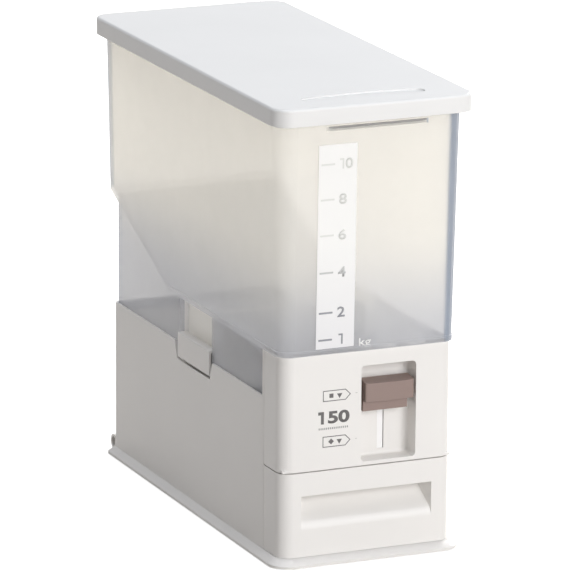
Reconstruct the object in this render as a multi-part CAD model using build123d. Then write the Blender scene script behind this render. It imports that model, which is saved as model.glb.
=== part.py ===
from build123d import *
import math
import os

# A slim rice dispenser: a white base with a drawer, a translucent hopper with a sloped
# rear floor and a hinged lid, and a lever that turns a one-portion measuring drum.
#
# Millimetres. X runs across the front, Y runs back, Z is up. The pieces are drawn with
# y = 0 on the body's front plane; place() moves them so that the origin is under the
# middle of the whole object.

# --- driving sizes: body ------------------------------------------------------------
BODY_W = 171.6          # width of the casing
BODY_D = 403.0          # depth of the body, front plane to back wall
WALL = 2.2              # casing wall
FRONT_R = 13.3          # vertical corners at the front
BACK_R = 6.0            # vertical corners at the back
FRONT_BOX_D = 38.5      # how far the drawer front and the panel wrap round the sides
SIDE_STEP = 0.8         # the front shells are this much narrower than the casing, each side
PILLAR_BEVEL = 12.0     # depth of the sloping strip that takes up that step
PILLAR_D = 3.4          # pillar's side, beside the panel

# --- driving sizes: heights ---------------------------------------------------------
FOOT_DROP = 0.8         # the rubber feet stand this far out of the plate
PLATE_EDGE = 2.4        # the flange's outer edge
PLATE_RISE = 4.6        # the flange's slope, edge to casing
DRAWER_H = 79.0         # drawer front
SEAM = 1.1              # gap between the drawer front and the panel
PANEL_H = 108.1         # front panel
CASING_H = 143.6        # casing sides and back
LID_H = 16.5            # lid, skirt to top
LID_BOTTOM = 411.3      # lower edge of the lid's skirt above the ground

# --- driving sizes: base plate ------------------------------------------------------
PLATE_SIDE = 7.2        # flange beyond the casing at the sides
PLATE_FRONT = 9.5
PLATE_BACK = 3.0
PLATE_R = 19.0
PLATE_SKIN = 2.6        # thickness left above the hollow underside
LUG_REACH = 13.5        # rear lugs, measured back from the casing
LUG_H = 15.0
LUG_W = 30.0
LUG_WALL = 2.4
LUG_UP = 1.0            # lug above the plate's underside
LUG_INSET = 2.0         # lug in from the casing's side
FOOT_R = 9.0
FOOT_T = 2.6
FOOT_INSET = 22.0       # foot centre from the casing's outline

# --- driving sizes: drawer ----------------------------------------------------------
DRAWER_LIFT = 0.3       # running gap under the drawer
SHELL = 2.4             # wall of the drawer front and the panel
TRAY_SIDE = 10.6        # tray in from the casing's inner wall, each side
TRAY_D = 305.0
TRAY_H = 71.5
TRAY_WALL = 2.0
SCOOP_W = 129.2
SCOOP_D = 27.0
SCOOP_TOP = 57.3        # above the drawer's lower edge
SCOOP_LOW = 24.5
SCOOP_SPLAY = 13.0      # degrees, end walls of the scoop
DRAWER_TRAVEL = 210.0

# --- driving sizes: hopper ----------------------------------------------------------
HOPPER_WALL = 2.0
HOPPER_OVER = 1.6       # beyond the front shells at the bottom, front and sides
HOPPER_BACK = 5.2       # beyond the casing's back wall at the bottom
DRAFT = 0.0223          # outward lean of every wall, per unit of height
HOPPER_R = 14.0         # vertical corners at the front
HOPPER_BACK_R = 4.0     # and at the back
RIM_BAND_H = 5.0
RIM_BAND_T = 0.6
SLOPE_START = 260.0     # where the rear floor begins to rise, from the front plane
SLOPE_RISE = 67.0       # how far it has risen at the back wall
SKIRT_WALL = 1.8
SKIRT_GAP = 0.4         # skirt to casing wall
SKIRT_DROP = 9.6        # how far the skirt reaches below the casing's top edge
SKIRT_FRONT = 44.2
LATCH_Y = 204.0         # middle of the latch
LATCH_W = 76.0
LATCH_POCKET_D = 9.0

# --- driving sizes: lid -------------------------------------------------------------
LID_SIDE = 12.1         # beyond the casing, each side
LID_FRONT = 17.3
LID_BACK = 26.9
LID_R = 17.0
LID_WALL = 2.2
LID_EDGE_R = 2.6
LID_GAP = 0.2           # lid to hopper rim
DIP_HALF_W = 53.0       # to where its ends start to round
DIP_Y = 15.6
DIP_HALF_D = 11.6       # in the middle
DIP_END = 6.8           # half the depth at the ends
DIP_DEPTH = 1.7
HINGE_Y = 8.2           # hinge pin behind the hopper wall
HINGE_DOWN = 10.6       # hinge pin below the lid's inner top
HINGE_X = 60.0
HINGE_PIN_R = 2.0
HINGE_LUG_W = 9.4
HINGE_EAR_T = 3.0
HINGE_PIN_END = 1.0     # pin beyond the outer ears

# --- driving sizes: lever and measuring gear ----------------------------------------
LEVER_X = 20.9          # middle of the lever well
WELL_W = 54.2
WELL_BOTTOM = 3.4       # above the panel's lower edge
WELL_H = 89.9
WELL_D = 18.0
WELL_R = 4.0
SLOT_W = 6.6
SLOT_BOTTOM = 5.5       # above the well's floor
SLOT_H = 64.4
GEAR_MODULE = 1.5
PINION_TEETH = 18
PINION_W = 7.4
PINION_SIDE = 11.1      # middle of the pinion to the right of the slot
DRUM_TURN = 180.0       # degrees from filling to emptying
AXIS_Y = 40.5           # drum axis behind the front plane
AXIS_UP = 54.0          # drum axis above the panel's lower edge
DRUM_R = 34.5
DRUM_WALL = 2.0
DRUM_TO_WELL = 4.2      # drum's right end to the lever well's skin
DRUM_LEFT = 12.0        # drum's left end from the casing wall's outside
DRUM_WINDOW = 100.0     # degrees
SHAFT_R = 4.0
HOUSING_WALL = 2.0
DECK_T = 2.0
DECK_D = 150.0

# --- driving sizes: level strip -----------------------------------------------------
STRIP_X0 = -52.4
STRIP_X1 = -15.1
STRIP_LOW = 5.5         # above the hopper's lower edge
STRIP_HIGH = 194.0
STRIP_T = 0.3

# --- clearances ---------------------------------------------------------------------
RUN = 0.3               # between faces that pass each other
SHAFT_FIT = 0.04        # radial, pins and shafts in their holes
BACKLASH = 0.24         # rack and pinion, along the pitch line
SEAT = 0.05             # between pieces that are pushed or glued together
DRUM_GAP = 0.4          # drum to housing, radial

# --- how shapes are cut and joined --------------------------------------------------
OVER = 1.0              # a cut runs this far past the face that it opens
EMBED = 0.5             # an added piece runs this far into the wall that carries it

# --- sizes that follow --------------------------------------------------------------
HALF_W = BODY_W / 2
INNER_HALF_W = HALF_W - WALL
TRAY_W = 2 * (INNER_HALF_W - TRAY_SIDE)
SHELL_HALF_W = HALF_W - SIDE_STEP
FLOOR_Z = FOOT_DROP + PLATE_EDGE + PLATE_RISE
DRAWER_Z = FLOOR_Z + DRAWER_LIFT
DRAWER_TOP = DRAWER_Z + DRAWER_H
PANEL_Z = DRAWER_TOP + SEAM
PANEL_TOP = PANEL_Z + PANEL_H
CASING_TOP = FLOOR_Z + CASING_H
LID_TOP = LID_BOTTOM + LID_H
LID_INNER = LID_TOP - LID_WALL
HOPPER_TOP = LID_INNER - LID_GAP
DRAFT_DEG = math.degrees(math.atan(DRAFT))
HOPPER_HALF_W = SHELL_HALF_W + HOPPER_OVER
HOPPER_Y1 = BODY_D + HOPPER_BACK
SLOPE = SLOPE_RISE / (HOPPER_Y1 - SLOPE_START)
WELL_Z = PANEL_Z + WELL_BOTTOM
WELL_X0 = LEVER_X - WELL_W / 2
WELL_X1 = LEVER_X + WELL_W / 2
WELL_BACK = WELL_D + SHELL
SLOT_Z = WELL_Z + SLOT_BOTTOM
AXIS_Z = PANEL_Z + AXIS_UP
PITCH_R = GEAR_MODULE * PINION_TEETH / 2
LEVER_TRAVEL = math.radians(DRUM_TURN) * PITCH_R
PITCH_Y = AXIS_Y - PITCH_R
PINION_X = LEVER_X + PINION_SIDE
DRUM_X0 = -HALF_W + DRUM_LEFT
DRUM_X1 = WELL_X0 - SHELL - DRUM_TO_WELL
HOUSING_R = DRUM_R + DRUM_GAP
DECK_Z = PANEL_Z + 0.2
DECK_TOP = DECK_Z + DECK_T
DECK_Y0 = FRONT_BOX_D + 1.0
HINGE_Z = LID_INNER - HINGE_DOWN
HINGE_PIVOT_Y = HOPPER_Y1 + DRAFT * (HINGE_Z - PANEL_TOP) + HINGE_Y
FRAME_SHIFT = -(LID_FRONT + BODY_D + LID_BACK) / 2 + LID_FRONT


# --- drawing helpers ----------------------------------------------------------------
def block(x0, x1, y0, y1, z0, z1):
    """A box between two corners."""
    middle = ((x0 + x1) / 2, (y0 + y1) / 2, (z0 + z1) / 2)
    return Pos(*middle) * Box(x1 - x0, y1 - y0, z1 - z0)


def mirrored(solid):
    """The same piece on the other side of the object."""
    return mirror(solid, about=Plane.YZ)


def both_sides(solid):
    return solid + mirrored(solid)


def rod_x(x0, x1, y, z, radius):
    return Pos((x0 + x1) / 2, y, z) * Rot(0, 90, 0) * Cylinder(radius, x1 - x0)


def rod_y(x, y0, y1, z, radius):
    return Pos(x, (y0 + y1) / 2, z) * Rot(90, 0, 0) * Cylinder(radius, y1 - y0)


def rod_z(x, y, z0, z1, radius):
    return Pos(x, y, (z0 + z1) / 2) * Cylinder(radius, z1 - z0)


def side_prism(points, x0, x1):
    """A (y, z) outline carried from x0 to x1."""
    outline = make_face(Polyline(*points, close=True))
    return extrude(Plane.YZ.offset(x0) * outline, x1 - x0)


def front_prism(points, y0, y1):
    """An (x, z) outline carried from y0 to y1."""
    outline = make_face(Polyline(*points, close=True))
    return extrude(Plane.XZ.offset(-y0) * outline, y0 - y1)


def plan(half, y0, y1, front_r, back_r):
    """A rectangle seen from above, with its own corner radius at front and back."""
    sketch = Pos(0, (y0 + y1) / 2) * Rectangle(2 * half, y1 - y0)
    sketch = fillet(sketch.vertices().sort_by(Axis.Y)[:2], front_r)
    return fillet(sketch.vertices().sort_by(Axis.Y)[-2:], back_r)


def rise(sketch, z0, z1, taper=0.0):
    return extrude(Pos(0, 0, z0) * sketch, z1 - z0, taper=taper)


def only(shape):
    """The one solid of a shape that holds no other."""
    return shape.solids()[0]


def grouped(solids):
    """One solid as it is, or several like ones as a group."""
    return solids[0] if len(solids) == 1 else Compound(children=solids)


# --- screws -------------------------------------------------------------------------
SCREW_HEAD_R = 3.2
SCREW_HEAD_H = 2.0
SCREW_R = 1.5
SCREW_L = 11.0
SCREW_DRIVE_W = 0.9     # arms of the cross in the head
SCREW_DRIVE_D = 0.8
SCREW_PASS_R = SCREW_R + 0.2
SCREW_BITE_R = SCREW_R + SEAT
BOSS_R = 3.8
BOSS_SINK = 0.8         # how far a boss runs into the wall beside it
BOSS_END = 0.5          # hole left below a screw's tip


def screw(length=SCREW_L):
    """A pan-head screw with its head under z = 0 and its shank pointing up."""
    arm = Box(SCREW_HEAD_R, SCREW_DRIVE_W, 2 * SCREW_DRIVE_D)
    cross = Pos(0, 0, -SCREW_HEAD_H) * (arm + Rot(0, 0, 90) * arm)
    head = rod_z(0, 0, -SCREW_HEAD_H, 0, SCREW_HEAD_R) - cross
    return head + rod_z(0, 0, 0, length, SCREW_R)


def pointing_front(solid):
    """A screw that is driven from behind."""
    return Rot(90, 0, 0) * solid


def pointing_down(solid):
    """A screw that is driven from above."""
    return Rot(180, 0, 0) * solid


# --- base plate ---------------------------------------------------------------------
BASE_SCREW_X = INNER_HALF_W - BOSS_R + BOSS_SINK
BASE_SCREW_Y = (58.0, BODY_D - 12.0)
BASE_SCREWS = [(side * BASE_SCREW_X, y) for side in (-1, 1) for y in BASE_SCREW_Y]
BASE_SCREW_Z = FOOT_DROP + SCREW_HEAD_H + 0.6
FOOT_X = HALF_W - FOOT_INSET
FOOT_POINTS = [(side * FOOT_X, y) for side in (-1, 1) for y in (FOOT_INSET, BODY_D - FOOT_INSET)]
FOOT_POCKET_GAP = 0.1
FOOT_RING = 3.0         # plate kept solid round a foot
BOSS_RING = 2.0         # plate kept solid round a screw
PLINTH_STEP = 0.5       # plinth beyond the casing, where the slope ends
UNDER_INSET = 4.0       # hollow underside, in from the casing's outline
RIB_T = 2.0
RIB_COUNT = 5
GUIDE_T = 1.6
GUIDE_H = 6.0
GUIDE_Y0 = 70.0
GUIDE_BACK = 24.0       # guides end this far before the back wall
STOP_HALF_W = 30.0
STOP_T = 2.0
TRAY_Y0 = SCOOP_D + SHELL + 2.6
TRAY_Y1 = TRAY_Y0 + TRAY_D
STOP_Y0 = TRAY_Y1 + 9.0


def base_plate():
    low_plan = plan(HALF_W + PLATE_SIDE, -PLATE_FRONT, BODY_D + PLATE_BACK, PLATE_R, BACK_R + 1)
    top_plan = plan(HALF_W + PLINTH_STEP, -PLINTH_STEP, BODY_D + PLINTH_STEP, FRONT_R, BACK_R)
    edge_top = FOOT_DROP + PLATE_EDGE
    slope = loft([Pos(0, 0, edge_top) * low_plan, Pos(0, 0, FLOOR_Z) * top_plan])
    plate = rise(low_plan, FOOT_DROP, edge_top) + slope
    under = plan(
        HALF_W - UNDER_INSET, UNDER_INSET, BODY_D - UNDER_INSET, FRONT_R - UNDER_INSET, BACK_R / 2
    )
    hollow = rise(under, FOOT_DROP, FLOOR_Z - PLATE_SKIN)
    for x, y in FOOT_POINTS:
        hollow -= rod_z(x, y, FOOT_DROP, FLOOR_Z, FOOT_R + FOOT_RING)
    for x, y in BASE_SCREWS:
        hollow -= rod_z(x, y, FOOT_DROP, FLOOR_Z, BOSS_R + BOSS_RING)
    for step in range(RIB_COUNT):
        y = BODY_D * (step + 1) / (RIB_COUNT + 1)
        hollow -= block(-HALF_W, HALF_W, y - RIB_T / 2, y + RIB_T / 2, FOOT_DROP, FLOOR_Z)
    hollow -= block(-RIB_T / 2, RIB_T / 2, 0, BODY_D, FOOT_DROP, FLOOR_Z)
    plate -= hollow
    for x, y in FOOT_POINTS:
        plate -= rod_z(x, y, 0, FOOT_T, FOOT_R + FOOT_POCKET_GAP)
    for x, y in BASE_SCREWS:
        plate -= rod_z(x, y, 0, BASE_SCREW_Z, SCREW_HEAD_R + RUN)
        plate -= rod_z(x, y, 0, FLOOR_Z + OVER, SCREW_PASS_R)
    guide_x = TRAY_W / 2 + RUN
    guide_top = FLOOR_Z + GUIDE_H
    guide = block(guide_x, guide_x + GUIDE_T, GUIDE_Y0, BODY_D - GUIDE_BACK, FLOOR_Z - OVER, guide_top)
    stop = block(-STOP_HALF_W, STOP_HALF_W, STOP_Y0, STOP_Y0 + STOP_T, FLOOR_Z - OVER, guide_top)
    return plate + both_sides(guide) + stop + rear_lugs()


def rear_lugs():
    """Two rounded loops behind the casing, open at their ends."""
    z0 = FOOT_DROP + LUG_UP
    radius = LUG_H / 2
    front = BODY_D + PLINTH_STEP
    turn_y = BODY_D + LUG_REACH - radius

    def loop(inset, x0, x1):
        body = block(x0, x1, front + inset, turn_y, z0 + inset, z0 + LUG_H - inset)
        body += rod_x(x0, x1, turn_y, z0 + radius, radius - inset)
        return body & block(x0, x1, front + inset, turn_y + radius, z0, z0 + LUG_H)

    lug_x = HALF_W - LUG_INSET - LUG_W
    lug = loop(0, lug_x, lug_x + LUG_W) - loop(LUG_WALL, lug_x - 1, lug_x + LUG_W + 1)
    return both_sides(lug)


def rubber_feet():
    return grouped([rod_z(x, y, 0, FOOT_T, FOOT_R) for x, y in FOOT_POINTS])


def base_screws():
    return grouped([only(Pos(x, y, BASE_SCREW_Z) * screw()) for x, y in BASE_SCREWS])


# --- casing -------------------------------------------------------------------------
NOTCH_FLARE = 7.0       # notch wider than the latch at the top, each side
NOTCH_GAP = 1.5         # and at the bottom
NOTCH_TOP_W = LATCH_W + 2 * NOTCH_FLARE
NOTCH_LOW_W = LATCH_W + 2 * NOTCH_GAP
NOTCH_DEPTH = 16.6
CASING_Y0 = FRONT_BOX_D + RUN
PILLAR_END = CASING_Y0 + PILLAR_BEVEL
FLANGE_X = TRAY_W / 2 + GUIDE_T + 0.8
FLANGE_T = 2.4
PANEL_SCREW_Z = [PANEL_Z + 6.5, PANEL_TOP - 9.0]
PANEL_SCREW_X = INNER_HALF_W - 4.2
FLANGE_TAB = 6.0        # flange kept above and below each panel screw
LEDGE_W = 3.0
LEDGE_H = 2.4
LATCH_PIVOT_IN = 7.4    # pin in from the casing's outside
LATCH_PIVOT_X = HALF_W - LATCH_PIVOT_IN
LATCH_PIVOT_DOWN = 25.0 # pin below the casing's top edge
LATCH_PIVOT_Z = CASING_TOP - LATCH_PIVOT_DOWN
LATCH_PIN_R = 1.5
LATCH_BARREL_R = 3.2
LATCH_EAR_T = 3.0
LATCH_EAR_RING = 4.0    # ear beyond the pin's middle
LATCH_EAR_UP = 3.4
BASE_BOSS_H = 14.0
LEDGE_Y0 = SKIRT_FRONT + 2.0


def casing():
    wide = HALF_W + OVER
    high = PANEL_TOP + OVER
    shell = rise(plan(HALF_W, 0, BODY_D, FRONT_R, BACK_R), FLOOR_Z, PANEL_TOP)
    shell -= rise(plan(INNER_HALF_W, WALL, BODY_D - WALL, FRONT_R - WALL, BACK_R - WALL), 0, high)
    shell -= block(-wide, wide, -OVER, CASING_Y0, 0, high)
    shell -= block(-wide, wide, CASING_Y0 + PILLAR_D, BODY_D + OVER, CASING_TOP, high)
    bevel = [(SHELL_HALF_W, CASING_Y0 - OVER), (wide, CASING_Y0 - OVER), (wide, PILLAR_END), (HALF_W, PILLAR_END)]
    shell -= both_sides(extrude(make_face(Polyline(*bevel, close=True)), high))
    shell += both_sides(pillar_flange())
    shell -= both_sides(latch_notch())
    shell += both_sides(latch_ears())
    shell += both_sides(ledges())
    for x, y in BASE_SCREWS:
        shell += rod_z(x, y, FLOOR_Z, FLOOR_Z + BASE_BOSS_H, BOSS_R)
        shell -= rod_z(x, y, 0, BASE_SCREW_Z + SCREW_L + BOSS_END, SCREW_BITE_R)
    return shell


def pillar_flange():
    """The inward flange of a front pillar, open in the middle for the measuring gear."""
    x1 = INNER_HALF_W + EMBED
    y1 = CASING_Y0 + FLANGE_T
    low, high = PANEL_SCREW_Z
    flange = block(FLANGE_X, x1, CASING_Y0, y1, FLOOR_Z, low + FLANGE_TAB)
    flange += block(FLANGE_X, x1, CASING_Y0, y1, high - FLANGE_TAB, PANEL_TOP)
    for z in PANEL_SCREW_Z:
        flange -= rod_y(PANEL_SCREW_X, CASING_Y0 - OVER, y1 + OVER, z, SCREW_PASS_R)
    return flange


def latch_notch():
    """The slanted notch in the casing's top edge that the latch fills."""
    low = CASING_TOP - NOTCH_DEPTH
    points = [
        (LATCH_Y - NOTCH_TOP_W / 2, CASING_TOP),
        (LATCH_Y - NOTCH_LOW_W / 2, low),
        (LATCH_Y + NOTCH_LOW_W / 2, low),
        (LATCH_Y + NOTCH_TOP_W / 2, CASING_TOP),
    ]
    return side_prism(points, INNER_HALF_W - OVER, HALF_W + OVER)


def latch_ears():
    """Two ears inside the wall that hold the latch's pin."""
    ears = None
    for side in (-1, 1):
        y = LATCH_Y + side * (LATCH_W / 2 + RUN + LATCH_EAR_T / 2)
        y0, y1 = y - LATCH_EAR_T / 2, y + LATCH_EAR_T / 2
        x0 = LATCH_PIVOT_X - LATCH_EAR_RING
        low = LATCH_PIVOT_Z - LATCH_BARREL_R - LATCH_EAR_RING
        ear = block(x0, INNER_HALF_W + EMBED, y0, y1, low, LATCH_PIVOT_Z + LATCH_EAR_UP)
        ear -= rod_y(LATCH_PIVOT_X, y0 - OVER, y1 + OVER, LATCH_PIVOT_Z, LATCH_PIN_R + SHAFT_FIT)
        ears = ear if ears is None else ears + ear
    return ears


def ledges():
    """Ledges for the hopper's skirt and for the mechanism deck."""
    skirt_z = CASING_TOP - SKIRT_DROP
    x0 = INNER_HALF_W - LEDGE_W
    x1 = INNER_HALF_W + EMBED
    latch_reach = NOTCH_TOP_W / 2 + 5.0
    result = block(x0, x1, LEDGE_Y0, LATCH_Y - latch_reach, skirt_z - LEDGE_H, skirt_z)
    result += block(x0, x1, LATCH_Y + latch_reach, BODY_D - 10.0, skirt_z - LEDGE_H, skirt_z)
    return result + block(x0, x1, LEDGE_Y0, DECK_Y0 + DECK_D, DECK_Z - LEDGE_H, DECK_Z)


# --- latches ------------------------------------------------------------------------
LATCH_SHELF_T = 2.4
LATCH_PLATE_T = 2.2
LATCH_WEB_T = 2.0
LATCH_TOP = CASING_TOP + 9.9
LATCH_LOW = CASING_TOP - 13.9
HOOK_W = 40.0
HOOK_REACH = 2.6
HOOK_Z = CASING_TOP - 2.6
HOOK_H = 2.4
HOOK_NOSE = 0.8         # flat height of the hook's tip
LATCH_WEB_X0 = LATCH_PIVOT_X - 1.6
LATCH_EDGE_R = 1.2


def latch():
    """One latch, drawn on the right: outer plate, top shelf, inner web, hook and barrel."""
    y0 = LATCH_Y - LATCH_W / 2
    y1 = LATCH_Y + LATCH_W / 2
    web_x1 = LATCH_WEB_X0 + LATCH_WEB_T
    hook_x = LATCH_WEB_X0 - HOOK_REACH
    body = block(HALF_W - LATCH_PLATE_T, HALF_W, y0, y1, LATCH_LOW, LATCH_TOP)
    body += block(LATCH_WEB_X0, HALF_W, y0, y1, LATCH_TOP - LATCH_SHELF_T, LATCH_TOP)
    body += block(LATCH_WEB_X0, web_x1, y0, y1, LATCH_PIVOT_Z, LATCH_TOP)
    body += rod_y(LATCH_PIVOT_X, y0, y1, LATCH_PIVOT_Z, LATCH_BARREL_R)
    hook = [(web_x1, HOOK_Z), (hook_x, HOOK_Z), (hook_x, HOOK_Z + HOOK_NOSE), (web_x1, HOOK_Z + HOOK_H)]
    body += front_prism(hook, LATCH_Y - HOOK_W / 2, LATCH_Y + HOOK_W / 2)
    edge = body.edges().filter_by(Axis.Y).sort_by(lambda e: -e.center().X - e.center().Z)[0]
    body = fillet(edge, LATCH_EDGE_R)
    return body - rod_y(LATCH_PIVOT_X, y0 - OVER, y1 + OVER, LATCH_PIVOT_Z, LATCH_PIN_R + SHAFT_FIT)


def latch_pin():
    """A latch turns on one long pin that ends flush with the casing's ears."""
    reach = LATCH_W / 2 + RUN + LATCH_EAR_T
    return rod_y(LATCH_PIVOT_X, LATCH_Y - reach, LATCH_Y + reach, LATCH_PIVOT_Z, LATCH_PIN_R)


# --- front panel --------------------------------------------------------------------
WELL_TOP = WELL_Z + WELL_H
WELL_BACK_R = WELL_R - 1.5
GUIDE_SCREW_LEFT = 19.0
GUIDE_SCREW_RIGHT = 23.0
GUIDE_SCREW_UP = 8.4
GUIDE_SCREW_X = [LEVER_X - GUIDE_SCREW_LEFT, LEVER_X + GUIDE_SCREW_RIGHT]
GUIDE_SCREW_Z = WELL_TOP + GUIDE_SCREW_UP
GUIDE_SCREW_L = 9.0
GUIDE_EAR_T = 2.4
PANEL_BOSS_L = 14.0
PANEL_SHELF_D = 12.0    # shelf inside the panel's lower edge


def shell_plan(inset, back=FRONT_BOX_D):
    """The plan of the drawer front and the panel, its back edge square."""
    half = SHELL_HALF_W - inset
    outline = plan(half, inset, BODY_D, FRONT_R - inset, BACK_R)
    return outline & Pos(0, back / 2) * Rectangle(BODY_W, back)


def front_panel():
    shell = rise(shell_plan(0), PANEL_Z, PANEL_TOP)
    shell -= rise(shell_plan(SHELL, FRONT_BOX_D + OVER), PANEL_Z - OVER, PANEL_TOP + OVER)
    inner_half = SHELL_HALF_W - SHELL
    shell += block(-inner_half, inner_half, SHELL / 2, PANEL_SHELF_D, PANEL_Z, PANEL_Z + SHELL)
    shell += well_block(SHELL, SHELL / 2)
    shell -= well_block(0, -OVER)
    slot_x0 = LEVER_X - SLOT_W / 2
    shell -= block(slot_x0, slot_x0 + SLOT_W, WELL_D - OVER, WELL_BACK + OVER, SLOT_Z, SLOT_Z + SLOT_H)
    bite = GUIDE_SCREW_L - GUIDE_EAR_T + BOSS_END
    for x in GUIDE_SCREW_X:
        shell += rod_y(x, SHELL / 2, WELL_BACK, GUIDE_SCREW_Z, BOSS_R)
        shell -= rod_y(x, WELL_BACK - bite, WELL_BACK + OVER, GUIDE_SCREW_Z, SCREW_BITE_R)
    for z in PANEL_SCREW_Z:
        shell += both_sides(panel_boss(z))
        hole_y0 = FRONT_BOX_D - SCREW_L + FLANGE_T - BOSS_END
        shell -= both_sides(rod_y(PANEL_SCREW_X, hole_y0, CASING_Y0, z, SCREW_BITE_R))
    return shell


def panel_boss(z):
    """A boss on the panel's side wall that ends against the casing's flange."""
    y0 = FRONT_BOX_D - PANEL_BOSS_L
    boss = rod_y(PANEL_SCREW_X, y0, CASING_Y0 - SEAT, z, BOSS_R)
    return boss + block(PANEL_SCREW_X, SHELL_HALF_W - SHELL / 2, y0, FRONT_BOX_D, z - RIB_T / 2, z + RIB_T / 2)


def well_block(skin, front):
    """The lever well, as a block with rounded edges, grown by a skin."""
    body = block(WELL_X0 - skin, WELL_X1 + skin, front, WELL_D + skin, WELL_Z - skin, WELL_TOP + skin)
    body = fillet(body.edges().filter_by(Axis.Y), WELL_R)
    return fillet(body.faces().sort_by(Axis.Y)[-1].edges(), WELL_BACK_R)


def panel_screws():
    y = CASING_Y0 + FLANGE_T
    one_side = [Pos(PANEL_SCREW_X, y, z) * pointing_front(screw()) for z in PANEL_SCREW_Z]
    return grouped([only(s) for s in one_side] + [only(mirrored(s)) for s in one_side])


# --- drawer -------------------------------------------------------------------------
DRAWER_BOSS_X = 42.0
DRAWER_SCREW_Z = DRAWER_Z + TRAY_H - 7.0
TRAY_TOP = DRAWER_Z + TRAY_H
TRAY_R = 6.0
TRAY_FLOOR_R = 3.0
STOP_X = 50.0
STOP_LUG_W = 10.0
STOP_LUG_H = 4.6        # stop lugs above the tray's rim
STOP_LUG_ROOT = 8.0
SCOOP_FADE_Y = 3.2      # depth at which the scoop's slope turns into its fade
SCOOP_FADE_H = 9.0
SCOOP_FADE_MID = (0.8, 4.6)
SCOOP_FRONT = -2.0


def scoop(skin):
    """The finger scoop, deepest under its top edge, fading out towards the bottom."""
    top = DRAWER_Z + SCOOP_TOP + skin
    low = DRAWER_Z + SCOOP_LOW - skin
    deep = SCOOP_D + skin
    lean = skin * 0.6
    knee = (SCOOP_FADE_Y + lean, low + SCOOP_FADE_H)
    middle = (SCOOP_FADE_MID[0] + lean, low + SCOOP_FADE_MID[1])
    end = (lean / 3, low)
    profile = make_face([
        Polyline((SCOOP_FRONT, low), (SCOOP_FRONT, top), (deep, top), knee),
        ThreePointArc(knee, middle, end),
        Line(end, (SCOOP_FRONT, low)),
    ])
    half = SCOOP_W / 2 + skin
    back_half = half - math.tan(math.radians(SCOOP_SPLAY)) * deep
    body = extrude(Plane.YZ.offset(-half) * profile, 2 * half)
    ends = [(half, SCOOP_FRONT), (half, 0), (back_half, deep)]
    ends += [(-x, y) for x, y in reversed(ends)]
    return body & extrude(make_face(Polyline(*ends, close=True)), PANEL_TOP)


def drawer_front():
    front = rise(shell_plan(0), DRAWER_Z, DRAWER_TOP)
    front -= rise(shell_plan(SHELL, FRONT_BOX_D + OVER), DRAWER_Z + SHELL, DRAWER_TOP - SHELL)
    tray_half = TRAY_W / 2 + RUN
    front -= block(-tray_half, tray_half, TRAY_Y0, FRONT_BOX_D + OVER, 0, DRAWER_TOP - SHELL)
    front += scoop(SHELL) & rise(shell_plan(SHELL / 2), DRAWER_Z, DRAWER_TOP)
    front -= scoop(0)
    bite = SCREW_L - TRAY_WALL + BOSS_END
    for side in (-1, 1):
        x = side * DRAWER_BOSS_X
        front += rod_y(x, SHELL / 2, TRAY_Y0 - SEAT, DRAWER_SCREW_Z, BOSS_R)
        front -= rod_y(x, TRAY_Y0 - bite, TRAY_Y0, DRAWER_SCREW_Z, SCREW_BITE_R)
    return front


def drawer_tray():
    half = TRAY_W / 2
    wall = TRAY_WALL
    tray = block(-half, half, TRAY_Y0, TRAY_Y1, DRAWER_Z, TRAY_TOP)
    tray = fillet(tray.edges().filter_by(Axis.Z), TRAY_R)
    room = block(-half + wall, half - wall, TRAY_Y0 + wall, TRAY_Y1 - wall, DRAWER_Z + wall, DRAWER_TOP)
    room = fillet(room.edges().filter_by(Axis.Z), TRAY_R - wall)
    room = fillet(room.faces().sort_by(Axis.Z)[0].edges(), TRAY_FLOOR_R)
    tray -= room
    lug_z0 = TRAY_TOP - STOP_LUG_ROOT
    for side in (-1, 1):
        x = side * DRAWER_BOSS_X
        tray -= rod_y(x, TRAY_Y0 - OVER, TRAY_Y0 + wall + OVER, DRAWER_SCREW_Z, SCREW_PASS_R)
        lug_x0 = side * STOP_X - STOP_LUG_W / 2
        tray += block(lug_x0, lug_x0 + STOP_LUG_W, TRAY_Y1 - wall, TRAY_Y1, lug_z0, TRAY_TOP + STOP_LUG_H)
    return tray


def drawer_screws():
    y = TRAY_Y0 + TRAY_WALL
    places = [Pos(side * DRAWER_BOSS_X, y, DRAWER_SCREW_Z) for side in (-1, 1)]
    return grouped([only(p * pointing_front(screw())) for p in places])


# --- mechanism deck and chute -------------------------------------------------------
CHUTE_X0 = DRUM_X0 + 1.5
CHUTE_X1 = DRUM_X1 - 1.5
CHUTE_WALL = 1.6
OUTLET_HALF = 21.0      # half the drum housing's opening, front to back
CHUTE_LOW_Y0 = FRONT_BOX_D + 3.5
CHUTE_LOW_D = 30.0
CHUTE_LOW_Y1 = CHUTE_LOW_Y0 + CHUTE_LOW_D
CHUTE_DROP = 0.4        # chute's lower end below the deck
CHUTE_NECK = 0.5        # straight part of the chute above the deck
COLLAR_END = 0.1        # inlet and outlet collars end this far beyond the barrel
CHUTE_TOP_Z = AXIS_Z - HOUSING_R - HOUSING_WALL - COLLAR_END
HOUSING_SCREW_Y = AXIS_Y + HOUSING_R + HOUSING_WALL + 6.0
HOUSING_SCREW_L = 21.0
HOUSING_POST_H = 12.0   # deck posts under the housing's ears
HOUSING_SCREW_IN = 8.0   # screws in from the drum's ends
HOUSING_SCREW_X = [DRUM_X0 + HOUSING_SCREW_IN, DRUM_X1 - HOUSING_SCREW_IN]
BRACKET_X0 = PINION_X + PINION_W / 2 + 5.0
BRACKET_T = 3.0
BRACKET_HALF = 11.0
BRACKET_SLIM = 2.5      # the upright's front edge and top are this much closer to the axis
BRACKET_FOOT_W = 16.0
BRACKET_FOOT_D = 10.0
BRACKET_FOOT_T = 2.4
GUSSET_W = 12.0
GUSSET_H = 24.0
GUSSET_T = 2.4
BUSH_R = 6.4
BUSH_COLLAR = 1.6
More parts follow.
